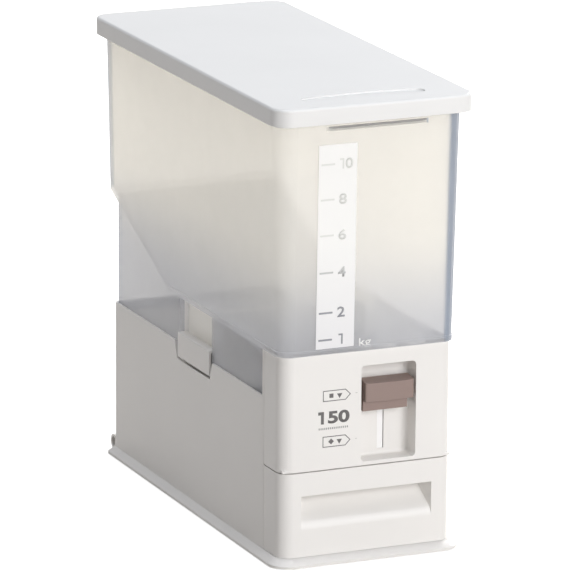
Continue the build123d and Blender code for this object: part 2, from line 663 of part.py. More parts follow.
DECK_FRONT_GAP = 0.5
STOP_LIP_W = 12.0
STOP_LIP_T = 2.4
STOP_LIP_CATCH = 2.6    # how far the lip and the tray's lug overlap in height


def mechanism_deck():
    deck_y0 = DECK_Y0 + FLANGE_T + DECK_FRONT_GAP
    deck_half = INNER_HALF_W - RUN
    deck = block(-deck_half, deck_half, deck_y0, DECK_Y0 + DECK_D, DECK_Z, DECK_TOP)
    deck -= block(
        CHUTE_X0 - SEAT, CHUTE_X1 + SEAT, CHUTE_LOW_Y0 - SEAT, CHUTE_LOW_Y1 + SEAT, DECK_Z - OVER, DECK_TOP + OVER
    )
    stop_y = TRAY_Y1 - DRAWER_TRAVEL - TRAY_WALL - RUN
    lip_z = TRAY_TOP + STOP_LUG_H - STOP_LIP_CATCH
    for side in (-1, 1):
        lip_x0 = side * STOP_X - STOP_LIP_W / 2
        deck += block(lip_x0, lip_x0 + STOP_LIP_W, stop_y - STOP_LIP_T, stop_y, lip_z, DECK_TOP)
    for x in HOUSING_SCREW_X:
        deck += rod_z(x, HOUSING_SCREW_Y, DECK_TOP, DECK_TOP + HOUSING_POST_H, BOSS_R)
        deck -= rod_z(x, HOUSING_SCREW_Y, DECK_Z - OVER, DECK_TOP + HOUSING_POST_H + OVER, SCREW_BITE_R)
    return deck


def chute():
    """A slanted funnel that carries the portion back over the tray's front wall."""
    def section(skin, z, y0, y1):
        middle = ((CHUTE_X0 + CHUTE_X1) / 2, (y0 + y1) / 2, z)
        return Pos(*middle) * Rectangle(CHUTE_X1 - CHUTE_X0 - 2 * skin, y1 - y0 - 2 * skin)

    neck_z = DECK_TOP + CHUTE_NECK
    low = DECK_Z - CHUTE_DROP

    def body(skin, past):
        bottom = section(skin, neck_z, CHUTE_LOW_Y0, CHUTE_LOW_Y1)
        top = section(skin, CHUTE_TOP_Z, AXIS_Y - OUTLET_HALF, AXIS_Y + OUTLET_HALF)
        neck = extrude(bottom, neck_z - low + past, dir=(0, 0, -1))
        solid = loft([bottom, top]) + neck
        return solid + extrude(top, past) if past else solid

    return body(0, 0) - body(CHUTE_WALL, OVER)


# --- drum and its housing -----------------------------------------------------------
DRUM_HUB_R = 6.5
HOUSING_EAR_T = 2.4
HOUSING_EAR_HALF = 4.0
HOUSING_X0 = DRUM_X0 - RUN - HOUSING_WALL
HOUSING_X1 = DRUM_X1 + RUN + HOUSING_WALL
INLET_TOP = AXIS_Z + HOUSING_R + HOUSING_WALL + COLLAR_END
SHAFT_END = 5.5         # shaft beyond the drum's left end
SHAFT_TAIL = 2.0        # shaft beyond the bracket


def drum_rod(x0, x1, radius):
    """A cylinder on the drum's axis."""
    return rod_x(x0, x1, AXIS_Y, AXIS_Z, radius)


def drum_window():
    """The wedge that opens the drum upwards."""
    half = math.radians(DRUM_WINDOW / 2)
    far = DRUM_R + OVER
    dy = far * math.tan(half)
    points = [(AXIS_Y, AXIS_Z), (AXIS_Y + dy, AXIS_Z + far), (AXIS_Y - dy, AXIS_Z + far)]
    return side_prism(points, DRUM_X0 + DRUM_WALL, DRUM_X1 + OVER)


def drum_shell():
    """The measuring chamber: a can with a window, one end and a hub."""
    can = drum_rod(DRUM_X0, DRUM_X1 - DRUM_WALL, DRUM_R)
    can -= drum_rod(DRUM_X0 + DRUM_WALL, DRUM_X1, DRUM_R - DRUM_WALL)
    can -= drum_window()
    can += drum_rod(DRUM_X0, DRUM_X1 - DRUM_WALL - SEAT, DRUM_HUB_R)
    return can - drum_rod(DRUM_X0 - OVER, DRUM_X1, SHAFT_R + SHAFT_FIT)


def drum_cap():
    cap = drum_rod(DRUM_X1 - DRUM_WALL, DRUM_X1, DRUM_R)
    return cap - drum_rod(DRUM_X0, DRUM_X1 + OVER, SHAFT_R + SHAFT_FIT)


def drum_shaft():
    return drum_rod(DRUM_X0 - SHAFT_END, BRACKET_X0 + BRACKET_T + SHAFT_TAIL, SHAFT_R)


def shaft_bushes():
    return grouped([only(bush(HOUSING_X0, HOUSING_WALL)), only(bush(BRACKET_X0, BRACKET_T))])


def bush(x0, length):
    body = drum_rod(x0 - BUSH_COLLAR, x0 + length, BUSH_R - SEAT)
    body += drum_rod(x0 - BUSH_COLLAR, x0 - SEAT, BUSH_R + BUSH_COLLAR)
    return body - drum_rod(x0 - BUSH_COLLAR - OVER, x0 + length + OVER, SHAFT_R + SHAFT_FIT)


def housing_ring():
    """The whole housing before it is parted on the axis: barrel and ends."""
    ring = drum_rod(HOUSING_X0, HOUSING_X1, HOUSING_R + HOUSING_WALL)
    ring -= drum_rod(HOUSING_X0 - OVER, DRUM_X0, BUSH_R)
    ring -= drum_rod(DRUM_X1, HOUSING_X1 + OVER, SHAFT_R + RUN)
    return ring - drum_rod(DRUM_X0 - RUN, DRUM_X1 + RUN, HOUSING_R)


def collar(wall, z0, z1):
    """A rectangular block round the drum housing's upper or lower opening."""
    y0, y1 = AXIS_Y - OUTLET_HALF + wall, AXIS_Y + OUTLET_HALF - wall
    return block(CHUTE_X0 + wall, CHUTE_X1 - wall, y0, y1, z0, z1)


def housing_half(upper):
    """The half above or below the axis, with its collar and its two screw ears."""
    beyond = HOUSING_R + HOUSING_WALL + OVER
    if upper:
        low, high = AXIS_Z, AXIS_Z + beyond
        opening_z = (AXIS_Z, INLET_TOP)
        ear_z = (AXIS_Z, AXIS_Z + HOUSING_EAR_T)
        hole_r = SCREW_PASS_R
    else:
        low, high = AXIS_Z - beyond, AXIS_Z
        opening_z = (CHUTE_TOP_Z + SEAT, AXIS_Z)
        ear_z = (DECK_TOP + HOUSING_POST_H, AXIS_Z)
        hole_r = SCREW_BITE_R
    half = housing_ring() & block(-HALF_W, HALF_W, AXIS_Y - beyond, AXIS_Y + beyond, low, high)
    half += collar(0, *opening_z)
    for x in HOUSING_SCREW_X:
        x0, x1 = x - HOUSING_EAR_HALF, x + HOUSING_EAR_HALF
        half += block(x0, x1, AXIS_Y + HOUSING_R + EMBED, HOUSING_SCREW_Y + HOUSING_EAR_HALF, *ear_z)
        half -= rod_z(x, HOUSING_SCREW_Y, ear_z[0] - OVER, ear_z[1] + OVER, hole_r)
    half -= drum_rod(DRUM_X0 - RUN, DRUM_X1 + RUN, HOUSING_R)
    return half - collar(HOUSING_WALL, low - OVER, high + OVER)


def housing_screws():
    """Two screws join the halves from above and two hold the housing from under the deck."""
    above = [Pos(x, HOUSING_SCREW_Y, AXIS_Z + HOUSING_EAR_T) * pointing_down(screw()) for x in HOUSING_SCREW_X]
    below = [Pos(x, HOUSING_SCREW_Y, DECK_Z) * screw(HOUSING_SCREW_L) for x in HOUSING_SCREW_X]
    return grouped([only(s) for s in above + below])


def bearing_bracket():
    """An upright on the deck with a foot, holding the right-hand bush."""
    x1 = BRACKET_X0 + BRACKET_T
    y0 = AXIS_Y - BRACKET_HALF + BRACKET_SLIM
    y1 = AXIS_Y + BRACKET_HALF
    foot_y0 = DECK_Y0 + FLANGE_T + DECK_FRONT_GAP
    upright = block(BRACKET_X0, x1, y0, y1, DECK_TOP, AXIS_Z)
    upright += drum_rod(BRACKET_X0, x1, BRACKET_HALF - BRACKET_SLIM)
    upright += block(
        BRACKET_X0, x1 + BRACKET_FOOT_W, foot_y0, y1 + BRACKET_FOOT_D, DECK_TOP, DECK_TOP + BRACKET_FOOT_T
    )
    gusset_z = DECK_TOP + BRACKET_FOOT_T - EMBED
    gusset = [(x1 - EMBED, gusset_z), (x1 + GUSSET_W, gusset_z), (x1 - EMBED, gusset_z + GUSSET_H)]
    upright += front_prism(gusset, foot_y0 + GUSSET_T, foot_y0 + 2 * GUSSET_T)
    return upright - drum_rod(BRACKET_X0 - OVER, x1 + OVER, BUSH_R)


# --- rack and pinion ----------------------------------------------------------------
PRESSURE = math.radians(20.0)
ADDENDUM = 0.85 * GEAR_MODULE
DEDENDUM = 1.15 * GEAR_MODULE
PITCH = math.pi * GEAR_MODULE
FLANK_STEPS = 4
PINION_HUB_R = 7.5


def involute(angle):
    return math.tan(angle) - angle


def pinion():
    """An involute pinion with a tooth pointing at the rack."""
    base_r = PITCH_R * math.cos(PRESSURE)
    root_r = PITCH_R - DEDENDUM
    tip_r = PITCH_R + ADDENDUM
    half_tooth = math.pi / 2 / PINION_TEETH - BACKLASH / 4 / PITCH_R

    def half_angle(radius):
        return half_tooth + involute(PRESSURE) - involute(math.acos(base_r / radius))

    flank = [(root_r, half_angle(base_r))]
    for step in range(FLANK_STEPS + 1):
        radius = base_r + (tip_r - base_r) * step / FLANK_STEPS
        flank.append((radius, half_angle(radius)))
    points = []
    for tooth in range(PINION_TEETH):
        middle = math.pi + 2 * math.pi * tooth / PINION_TEETH
        for radius, angle in flank:
            points.append((radius * math.cos(middle - angle), radius * math.sin(middle - angle)))
        for radius, angle in reversed(flank):
            points.append((radius * math.cos(middle + angle), radius * math.sin(middle + angle)))
    placed = [(AXIS_Y + y, AXIS_Z + z) for y, z in points]
    x0 = PINION_X - PINION_W / 2
    x1 = PINION_X + PINION_W / 2
    wheel = side_prism(placed, x0, x1)
    wheel += drum_rod(x1, BRACKET_X0 - BUSH_COLLAR - RUN, PINION_HUB_R)
    return wheel - drum_rod(x0 - OVER, BRACKET_X0, SHAFT_R + SHAFT_FIT)


SLIDE_Y0 = WELL_BACK + RUN
SLIDE_T = 3.0
SLIDE_X0 = LEVER_X - 6.0
SLIDE_X1 = PINION_X + PINION_W / 2 + 2.6
RACK_SIDE = 0.3         # rack wider than the pinion, each side
RACK_LOW = 5.0          # rack below the pinion's axis with the lever up
RACK_HIGH = LEVER_TRAVEL + RACK_LOW
STEM_T = SLOT_W - 2 * RUN
STEM_LOW = SLOT_Z + LEVER_TRAVEL + 0.6
STEM_H = 20.0
STEM_IN_KNOB = 7.0
STEM_Y0 = WELL_D - STEM_IN_KNOB


def lever_slider():
    """Slide plate, rack and the stem that passes through the slot."""
    low = AXIS_Z - RACK_LOW
    high = AXIS_Z + RACK_HIGH
    rack_x0 = PINION_X - PINION_W / 2 - RACK_SIDE
    rack_x1 = PINION_X + PINION_W / 2 + RACK_SIDE
    root_y = PITCH_Y - DEDENDUM
    body = block(SLIDE_X0, SLIDE_X1, SLIDE_Y0, SLIDE_Y0 + SLIDE_T, low, high)
    body += block(rack_x0, rack_x1, SLIDE_Y0, root_y, low, high)
    half_root = PITCH / 4 - BACKLASH / 4 + DEDENDUM * math.tan(PRESSURE)
    half_tip = PITCH / 4 - BACKLASH / 4 - ADDENDUM * math.tan(PRESSURE)
    count = int((RACK_HIGH + RACK_LOW) / PITCH) - 1
    first = -int(RACK_LOW / PITCH) + 0.5
    for tooth in range(count + 1):
        z = AXIS_Z + (first + tooth) * PITCH
        if low < z - half_root and z + half_root < high:
            points = [(root_y - EMBED, z - half_root), (root_y, z - half_root), (PITCH_Y + ADDENDUM, z - half_tip)]
            points += [(PITCH_Y + ADDENDUM, z + half_tip), (root_y, z + half_root), (root_y - EMBED, z + half_root)]
            body += side_prism(points, rack_x0, rack_x1)
    stem_x0 = LEVER_X - STEM_T / 2
    return body + block(stem_x0, stem_x0 + STEM_T, STEM_Y0, SLIDE_Y0 + EMBED, STEM_LOW, STEM_LOW + STEM_H)


RAIL_T = 3.2
RAIL_TOP = WELL_TOP - 1.0
RAIL_TIE_H = 8.0        # cross ties behind the rails, at both ends
RAIL_TIE_T = 2.2
RAIL_TIE_GAP = 0.4      # ties behind the rack's teeth, besides the running gap
RAIL_LAP = 1.8          # the right rail's lip over the slide
WEB_T = 1.8
WEB_LAP = 1.4           # web beyond the slot's right edge


def slider_guide():
    """Two rails that carry the slide, with a white web across the back of the slot."""
    y0 = WELL_BACK + SEAT
    lip_y0 = SLIDE_Y0 + SLIDE_T + RUN
    lip_y1 = lip_y0 + WEB_T
    bar_y1 = PITCH_Y + ADDENDUM + RUN + RAIL_TIE_GAP + RAIL_TIE_T
    low = WELL_Z
    left = SLIDE_X0 - RUN
    right = SLIDE_X1 + RUN
    body = block(left - RAIL_T, left, y0, bar_y1, low, RAIL_TOP)
    body += block(left - RAIL_T, LEVER_X + SLOT_W / 2 + WEB_LAP, lip_y0, lip_y1, low, RAIL_TOP)
    body += block(right, right + RAIL_T, y0, bar_y1, low, RAIL_TOP)
    body += block(SLIDE_X1 - RAIL_LAP, right + RAIL_T, lip_y0, lip_y1, low, RAIL_TOP)
    for z0 in (low, RAIL_TOP - RAIL_TIE_H):
        body += block(left - RAIL_T, right + RAIL_T, bar_y1 - RAIL_TIE_T, bar_y1, z0, z0 + RAIL_TIE_H)
    ear_y1 = WELL_BACK + SEAT + GUIDE_EAR_T
    ear_z0 = RAIL_TOP - RAIL_TIE_H
    ear_z1 = GUIDE_SCREW_Z + BOSS_R
    for x, inner in zip(GUIDE_SCREW_X, (left, right)):
        x0 = min(x - BOSS_R, inner)
        x1 = max(x + BOSS_R, inner)
        outer_x0, outer_x1 = (x0, left) if inner == left else (right, x1)
        ear = block(outer_x0, outer_x1, y0, ear_y1, ear_z0, ear_z1)
        body += ear - rod_y(x, y0 - OVER, ear_y1 + OVER, GUIDE_SCREW_Z, SCREW_PASS_R)
    return body


def guide_screws():
    y = WELL_BACK + SEAT + GUIDE_EAR_T
    placed = [Pos(x, y, GUIDE_SCREW_Z) * pointing_front(screw(GUIDE_SCREW_L)) for x in GUIDE_SCREW_X]
    return grouped([only(s) for s in placed])


KNOB_W = 47.7
KNOB_FRONT = -4.0
KNOB_BACK = WELL_D - RUN
KNOB_PAD_D = 14.5
KNOB_Z = STEM_LOW + 7.7
KNOB_H = 17.1
KNOB_RISE = 2.6         # pad's top is higher at the back
KNOB_BOW = 1.4          # pad's front stands out in the middle
KNOB_EDGE_R = 1.5
CARRIAGE_LEFT = 24.1     # carriage left of the slot's middle
CARRIAGE_RIGHT = 19.7    # and right of it
CARRIAGE_LOW = STEM_LOW - 2.2
CARRIAGE_STEP = 6.8      # carriage behind the pad's front


def lever_knob():
    """The finger pad: a bowed front, a top that falls forward, and a narrower carriage."""
    half = KNOB_W / 2
    top = KNOB_Z + KNOB_H
    pad_back = KNOB_FRONT + KNOB_PAD_D
    side_y = KNOB_FRONT + KNOB_BOW
    outline = [
        Polyline((-half, side_y), (-half, pad_back), (half, pad_back), (half, side_y)),
        ThreePointArc((half, side_y), (0, KNOB_FRONT), (-half, side_y)),
    ]
    pad = extrude(Pos(LEVER_X, 0, KNOB_Z) * make_face(outline), KNOB_H + KNOB_RISE)
    above = top + KNOB_RISE + OVER
    fall = [(KNOB_FRONT, top), (pad_back, top + KNOB_RISE), (pad_back, above), (KNOB_FRONT, above)]
    pad -= side_prism(fall, LEVER_X - half, LEVER_X + half)
    pad += block(
        LEVER_X - CARRIAGE_LEFT, LEVER_X + CARRIAGE_RIGHT, KNOB_FRONT + CARRIAGE_STEP, KNOB_BACK,
        CARRIAGE_LOW, top - OVER
    )
    pad = fillet(pad.edges().filter_by(Axis.Z).sort_by(Axis.Y)[:2], KNOB_EDGE_R)
    socket_x0 = LEVER_X - STEM_T / 2 - SEAT
    return pad - block(
        socket_x0, socket_x0 + STEM_T + 2 * SEAT, STEM_Y0 - SEAT, KNOB_BACK + OVER,
        STEM_LOW - SEAT, STEM_LOW + STEM_H + SEAT
    )


# --- hopper -------------------------------------------------------------------------
FLOOR_T = 2.2
MOUTH_X1 = -4.0
MOUTH_Y1 = 190.0
RIDGE_X0 = 11.6
RIDGE_X1 = 28.6
RIDGE_Y0 = 31.0
RIDGE_Y1 = 104.0
RIDGE_H = 33.0
RIDGE_TOP = PANEL_TOP + RIDGE_H
RIDGE_WALL = 1.8
BEYOND = 60.0           # construction shapes reach this far past the hopper
MOUTH_FRONT = 8.0       # mouth reaches this far in front of the inlet
LIP_T = 1.5
LIP_H = 4.0
SKIRT_CORNER_R = 1.5
POCKET_GAP = 1.0        # latch to its pocket's ends
HOOK_GAP = 0.6          # hook to the ends of its slot
HOOK_SLOT_UP = 2.5      # slot above the hook
EAR_R = 4.0
GRIP_X0 = -46.0         # ledge on the front wall, under the lid
GRIP_X1 = 54.0
GRIP_REACH = 4.0
GRIP_TAPER = 8.0        # its ends run out over this width
GRIP_LOW = LID_BOTTOM - 9.0
GRIP_HIGH = LID_BOTTOM - 4.2


def above_floor(lift):
    """The space over the hopper's floor, as a prism that is wider than the hopper."""
    z = PANEL_TOP + lift
    far = HOPPER_Y1 + BEYOND
    high = HOPPER_TOP + BEYOND
    points = [(-BEYOND, z), (SLOPE_START, z), (far, z + SLOPE * (far - SLOPE_START)), (far, high), (-BEYOND, high)]
    return side_prism(points, -BODY_W, BODY_W)


def drafted(inset, z0, z1):
    """The hopper's leaning outline between two heights, drawn in by an inset."""
    lean = DRAFT * (z0 - PANEL_TOP)
    outline = plan(
        HOPPER_HALF_W - inset + lean, -HOPPER_OVER + inset - lean, HOPPER_Y1 - inset + lean,
        HOPPER_R - inset + lean, HOPPER_BACK_R - inset + lean
    )
    return rise(outline, z0, z1, taper=-DRAFT_DEG)


def hopper():
    tank = drafted(0, PANEL_TOP, HOPPER_TOP) & above_floor(0)
    tank -= drafted(HOPPER_WALL, PANEL_TOP, HOPPER_TOP + OVER) & above_floor(FLOOR_T)
    band = drafted(-RIM_BAND_T, PANEL_TOP, PANEL_TOP + RIM_BAND_H)
    band -= drafted(EMBED, PANEL_TOP - OVER, PANEL_TOP + RIM_BAND_H + OVER)
    band &= block(-BODY_W, BODY_W, -BEYOND, SLOPE_START, 0, HOPPER_TOP)
    lip = drafted(-LIP_T, HOPPER_TOP - LIP_H, HOPPER_TOP)
    lip -= drafted(EMBED, HOPPER_TOP - LIP_H - OVER, HOPPER_TOP + OVER)
    tank = tank + band + lip + skirt()
    outside, inside = funnel()
    return (tank - inside) + (outside - inside) + both_sides(hinge_ears()) + grip_ledge()


def grip_ledge():
    """A slim ledge on the front wall, tapered to nothing at both ends and underneath."""
    wall_y = -HOPPER_OVER - DRAFT * (GRIP_HIGH - PANEL_TOP)
    front = wall_y - GRIP_REACH
    back = wall_y + HOPPER_WALL / 2
    outline = [(GRIP_X0, wall_y), (GRIP_X0 + GRIP_TAPER, front), (GRIP_X1 - GRIP_TAPER, front), (GRIP_X1, wall_y)]
    outline += [(GRIP_X1, back), (GRIP_X0, back)]
    ledge = extrude(Pos(0, 0, GRIP_LOW) * make_face(Polyline(*outline, close=True)), GRIP_HIGH - GRIP_LOW)
    under = [(front, GRIP_LOW), (front, GRIP_HIGH - RIM_BAND_T), (wall_y, GRIP_LOW)]
    return ledge - side_prism(under, GRIP_X0, GRIP_X1)


def funnel():
    """The sunken funnel from the hopper floor to the drum's inlet: outside and inside."""
    x0 = CHUTE_X0
    x1 = CHUTE_X1
    y0 = AXIS_Y - OUTLET_HALF
    y1 = AXIS_Y + OUTLET_HALF
    top = PANEL_TOP + FLOOR_T
    low = INLET_TOP + SEAT

    def section(skin, z, left, right, front, back):
        middle = ((left + right) / 2, (front + back) / 2, z)
        return Pos(*middle) * Rectangle(right - left + 2 * skin, back - front + 2 * skin)

    wall = HOPPER_WALL
    outer = loft([
        section(0, low, x0, x1, y0, y1),
        section(wall, top, x0, MOUTH_X1, y0 - MOUTH_FRONT, MOUTH_Y1),
    ])
    inner = loft([
        section(-wall, low - EMBED, x0, x1, y0, y1),
        section(0, top + EMBED, x0, MOUTH_X1, y0 - MOUTH_FRONT, MOUTH_Y1),
    ])
    return outer, inner


def skirt():
    """The walls below the tank: both sides and the back, with a pocket for each latch."""
    half = INNER_HALF_W - SKIRT_GAP
    low = CASING_TOP - SKIRT_DROP
    y1 = BODY_D - WALL - SKIRT_GAP
    t = SKIRT_WALL
    outer = plan(half, 0, y1, SKIRT_CORNER_R, BACK_R - WALL)
    inner = plan(half - t, t, y1 - t, SKIRT_CORNER_R, SKIRT_CORNER_R)
    walls = rise(outer, low, HOPPER_TOP) - rise(inner, low - OVER, HOPPER_TOP + OVER)
    walls -= block(-HALF_W, HALF_W, -OVER, SKIRT_FRONT, 0, HOPPER_TOP + OVER)
    pocket_half = LATCH_W / 2 + POCKET_GAP
    x0 = half - LATCH_POCKET_D
    y_a, y_b = LATCH_Y - pocket_half, LATCH_Y + pocket_half
    walls += both_sides(block(x0 - t, half, y_a - t, y_b + t, low, PANEL_TOP + OVER))
    walls -= both_sides(block(x0, half + OVER, y_a, y_b, low - OVER, PANEL_TOP + EMBED))
    hook_y = HOOK_W / 2 + HOOK_GAP
    slot_z1 = HOOK_Z + HOOK_H + HOOK_SLOT_UP
    slot = block(x0 - t - OVER, x0 + OVER, LATCH_Y - hook_y, LATCH_Y + hook_y, HOOK_Z - RUN, slot_z1)
    return walls - both_sides(slot) - above_floor(FLOOR_T / 2)


def hinge_ears():
    """Two ears for one hinge pin, carried back from the hopper's rear wall."""
    ears = None
    wall_y = HINGE_PIVOT_Y - HINGE_Y
    for side in (-1, 1):
        inner = HINGE_LUG_W / 2 + RUN
        x0 = HINGE_X + side * inner
        x1 = HINGE_X + side * (inner + HINGE_EAR_T)
        low, high = min(x0, x1), max(x0, x1)
        ear = block(low, high, wall_y - OVER, HINGE_PIVOT_Y, HINGE_Z - EAR_R, HINGE_Z + EAR_R)
        ear += rod_x(low, high, HINGE_PIVOT_Y, HINGE_Z, EAR_R)
        ear -= rod_x(low - OVER, high + OVER, HINGE_PIVOT_Y, HINGE_Z, HINGE_PIN_R + SHAFT_FIT)
        ears = ear if ears is None else ears + ear
    return ears


def flow_ridge():
    """A hollow white ridge on the hopper floor, its front end cut at 45 degrees."""
    def body(inset, z0, z1):
        x0, x1 = RIDGE_X0 + inset, RIDGE_X1 - inset
        y0, y1 = RIDGE_Y0 + inset * (1 + math.sqrt(2)), RIDGE_Y1 - inset
        points = [(x0, y0), (x1, y0 + x1 - x0), (x1, y1), (x0, y1)]
        return extrude(Pos(0, 0, z0) * make_face(Polyline(*points, close=True)), z1 - z0)

    floor = PANEL_TOP + FLOOR_T + SEAT
    ridge = body(0, floor, RIDGE_TOP)
    return ridge - body(RIDGE_WALL, floor - OVER, RIDGE_TOP - RIDGE_WALL)


def scale_strip():
    """A thin strip on the hopper's front wall, leaning with it."""
    def wall_y(z):
        return -HOPPER_OVER - DRAFT * (z - PANEL_TOP) - SEAT

    low = (wall_y(PANEL_TOP + STRIP_LOW), PANEL_TOP + STRIP_LOW)
    high = (wall_y(PANEL_TOP + STRIP_HIGH), PANEL_TOP + STRIP_HIGH)
    points = [low, high, (high[0] - STRIP_T, high[1]), (low[0] - STRIP_T, low[1])]
    return side_prism(points, STRIP_X0, STRIP_X1)


# --- lid ----------------------------------------------------------------------------
LUG_R = 3.6             # lid lugs round the hinge pin


def lens(grow, z0, z1):
    """The finger dip's outline: two shallow arcs joined by round ends."""
    half = DIP_HALF_W
    reach = DIP_HALF_D + grow
    end = DIP_END + grow
    low, high = DIP_Y - end, DIP_Y + end
    front = ThreePointArc((-half, low), (0, DIP_Y - reach), (half, low))
    right = ThreePointArc((half, low), (half + end, DIP_Y), (half, high))
    back = ThreePointArc((half, high), (0, DIP_Y + reach), (-half, high))
    left = ThreePointArc((-half, high), (-half - end, DIP_Y), (-half, low))
    return rise(make_face([front, right, back, left]), z0, z1)


def lid():
    def outline(inset):
        corner = LID_R - inset
        return plan(HALF_W + LID_SIDE - inset, inset - LID_FRONT, BODY_D + LID_BACK - inset, corner, corner)

    shell = rise(outline(0), LID_BOTTOM, LID_TOP)
    shell = fillet(shell.faces().sort_by(Axis.Z)[-1].edges(), LID_EDGE_R)
    shell -= rise(outline(LID_WALL), LID_BOTTOM - OVER, LID_INNER)
    shell += lens(LID_WALL, LID_INNER - DIP_DEPTH, LID_INNER + EMBED)
    shell -= lens(0, LID_TOP - DIP_DEPTH, LID_TOP + OVER)
    return shell + both_sides(hinge_lug())


def hinge_lug():
    x0 = HINGE_X - HINGE_LUG_W / 2
    x1 = HINGE_X + HINGE_LUG_W / 2
    lug = block(x0, x1, HINGE_PIVOT_Y - LUG_R, HINGE_PIVOT_Y + LUG_R, HINGE_Z, LID_INNER + EMBED)
    lug += rod_x(x0, x1, HINGE_PIVOT_Y, HINGE_Z, LUG_R)
    return lug - rod_x(x0 - OVER, x1 + OVER, HINGE_PIVOT_Y, HINGE_Z, HINGE_PIN_R + SHAFT_FIT)


def lid_hinge_pins():
    reach = HINGE_LUG_W / 2 + RUN + HINGE_EAR_T + HINGE_PIN_END
    right = rod_x(HINGE_X - reach, HINGE_X + reach, HINGE_PIVOT_Y, HINGE_Z, HINGE_PIN_R)
    return grouped([only(right), only(mirrored(right))])


# --- write every piece --------------------------------------------------------------
def pieces():
    latch_right = latch()
    pin_right = latch_pin()
    return {
        "base_plate": base_plate(),
        "rubber_feet": rubber_feet(),
        "base_screws": base_screws(),
        "casing": casing(),
        "latch_right": latch_right,
        "latch_left": mirrored(latch_right),
        "latch_pin_right": pin_right,
        "latch_pin_left": mirrored(pin_right),
        "front_panel": front_panel(),
        "panel_screws": panel_screws(),
        "drawer_front": drawer_front(),
        "drawer_tray": drawer_tray(),
        "drawer_screws": drawer_screws(),
        "mechanism_deck": mechanism_deck(),
        "chute": chute(),
        "drum_shell": drum_shell(),
        "drum_cap": drum_cap(),
        "drum_shaft": drum_shaft(),
        "shaft_bushes": shaft_bushes(),
        "housing_lower": housing_half(False),
        "housing_upper": housing_half(True),
        "housing_screws": housing_screws(),
        "bearing_bracket": bearing_bracket(),
        "pinion": pinion(),
        "lever_slider": lever_slider(),
        "slider_guide": slider_guide(),
        "guide_screws": guide_screws(),
        "lever_knob": lever_knob(),
        "hopper": hopper(),
        "flow_ridge": flow_ridge(),
        "scale_strip": scale_strip(),
        "lid": lid(),
        "lid_hinge_pins": lid_hinge_pins(),
    }


def place(piece):
    """Move a piece's solids from the drawing's front plane to the row frame."""
    return grouped([Pos(0, FRAME_SHIFT, 0) * solid for solid in piece.solids()])


os.makedirs("parts", exist_ok=True)
for name, solid in pieces().items():
    export_step(place(solid), f"parts/{name}.step")
    print(name, len(solid.solids()))
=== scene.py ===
# %% [markdown]
# # A slim rice dispenser, dressed for its photograph
# The engineer's solids come in as a fixed frame. Most of them already have the right
# shape, so this lesson gives them softened edges, finishes and printed marks.
# Nothing is moved: every piece is built where the frame says it is.

# %% Load the frame
import math

import bpy
from mathutils import Matrix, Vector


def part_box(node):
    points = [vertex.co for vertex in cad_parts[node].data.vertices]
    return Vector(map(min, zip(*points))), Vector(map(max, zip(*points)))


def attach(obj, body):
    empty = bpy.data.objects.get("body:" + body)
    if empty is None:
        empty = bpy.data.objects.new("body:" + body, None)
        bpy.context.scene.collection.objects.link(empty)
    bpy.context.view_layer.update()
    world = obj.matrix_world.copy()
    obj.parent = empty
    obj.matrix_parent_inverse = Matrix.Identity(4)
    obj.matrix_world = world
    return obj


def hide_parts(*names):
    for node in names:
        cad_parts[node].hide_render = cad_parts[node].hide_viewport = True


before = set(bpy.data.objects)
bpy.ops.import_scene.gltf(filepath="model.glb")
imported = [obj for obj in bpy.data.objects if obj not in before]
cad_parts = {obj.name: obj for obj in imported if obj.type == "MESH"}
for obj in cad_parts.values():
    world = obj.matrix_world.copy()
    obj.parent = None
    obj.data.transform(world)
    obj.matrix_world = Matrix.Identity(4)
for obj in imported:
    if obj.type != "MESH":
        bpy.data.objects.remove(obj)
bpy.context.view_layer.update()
print("CAD nodes:", len(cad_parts))

# %% [markdown]
# ## Working in millimetres
# Blender works in metres and the object was measured in millimetres, so every size
# below is written in millimetres and turned into metres by one factor.

# %% Units and helpers for objects
MM = 0.001


def use_only(piece):
    """Deselect everything, then select and activate one piece."""
    if bpy.context.mode != "OBJECT":
        bpy.ops.object.mode_set(mode="OBJECT")
    bpy.ops.object.select_all(action="DESELECT")
    piece.select_set(True)
    bpy.context.view_layer.objects.active = piece


def apply_place(piece):
    """Move the object's place, turn and scale into its mesh."""
    use_only(piece)
    bpy.ops.object.transform_apply(location=True, rotation=True, scale=True)


def triangles(piece):
    """How many triangles the piece's faces make."""
    return sum(len(face.vertices) - 2 for face in piece.data.polygons)


print("one millimetre is", MM, "of Blender's units")

# %% [markdown]
# ## Colours and nodes
# Colours are picked as they look on a screen, as hex codes. Shaders add up light, so
# each code is turned into linear values once, by the standard sRGB curve. One small
# function adds a node, sets its properties and fills or links its sockets.

# %% Colour and node helpers
# places of the colour sockets on a Mix node: factor, first colour, second colour, result
FACTOR, FIRST, SECOND, MIXED = 0, 6, 7, 2


def linear(code):
    """An sRGB hex code as linear red, green, blue and 1."""
    def channel(pair):
        value = int(pair, 16) / 255
        return value / 12.92 if value <= 0.04045 else ((value + 0.055) / 1.055) ** 2.4

    return [channel(code[i:i + 2]) for i in (1, 3, 5)] + [1.0]


def add_node(tree, kind, sockets=None, **settings):
    """Add a node. sockets gives a value or another node's output for each input."""
    made = tree.nodes.new(kind)
    for name, value in settings.items():
        setattr(made, name, value)
    for socket, value in (sockets or {}).items():
        if isinstance(value, bpy.types.NodeSocket):
            tree.links.new(value, made.inputs[socket])
        else:
            made.inputs[socket].default_value = value
    return made


def new_material(name):
    """A material with an empty node tree."""
    material = bpy.data.materials.new(name)
    material.use_nodes = True
    material.node_tree.nodes.clear()
    return material, material.node_tree


def finish_material(tree, surface):
    """End the tree with its output."""
    add_node(tree, "ShaderNodeOutputMaterial", {"Surface": surface})


def per_metre(size_mm):
    """A noise scale whose pattern repeats about every so many millimetres."""
    return 1 / (size_mm * MM)


print("mid grey on screen is", round(linear("#808080")[0], 3), "in light")

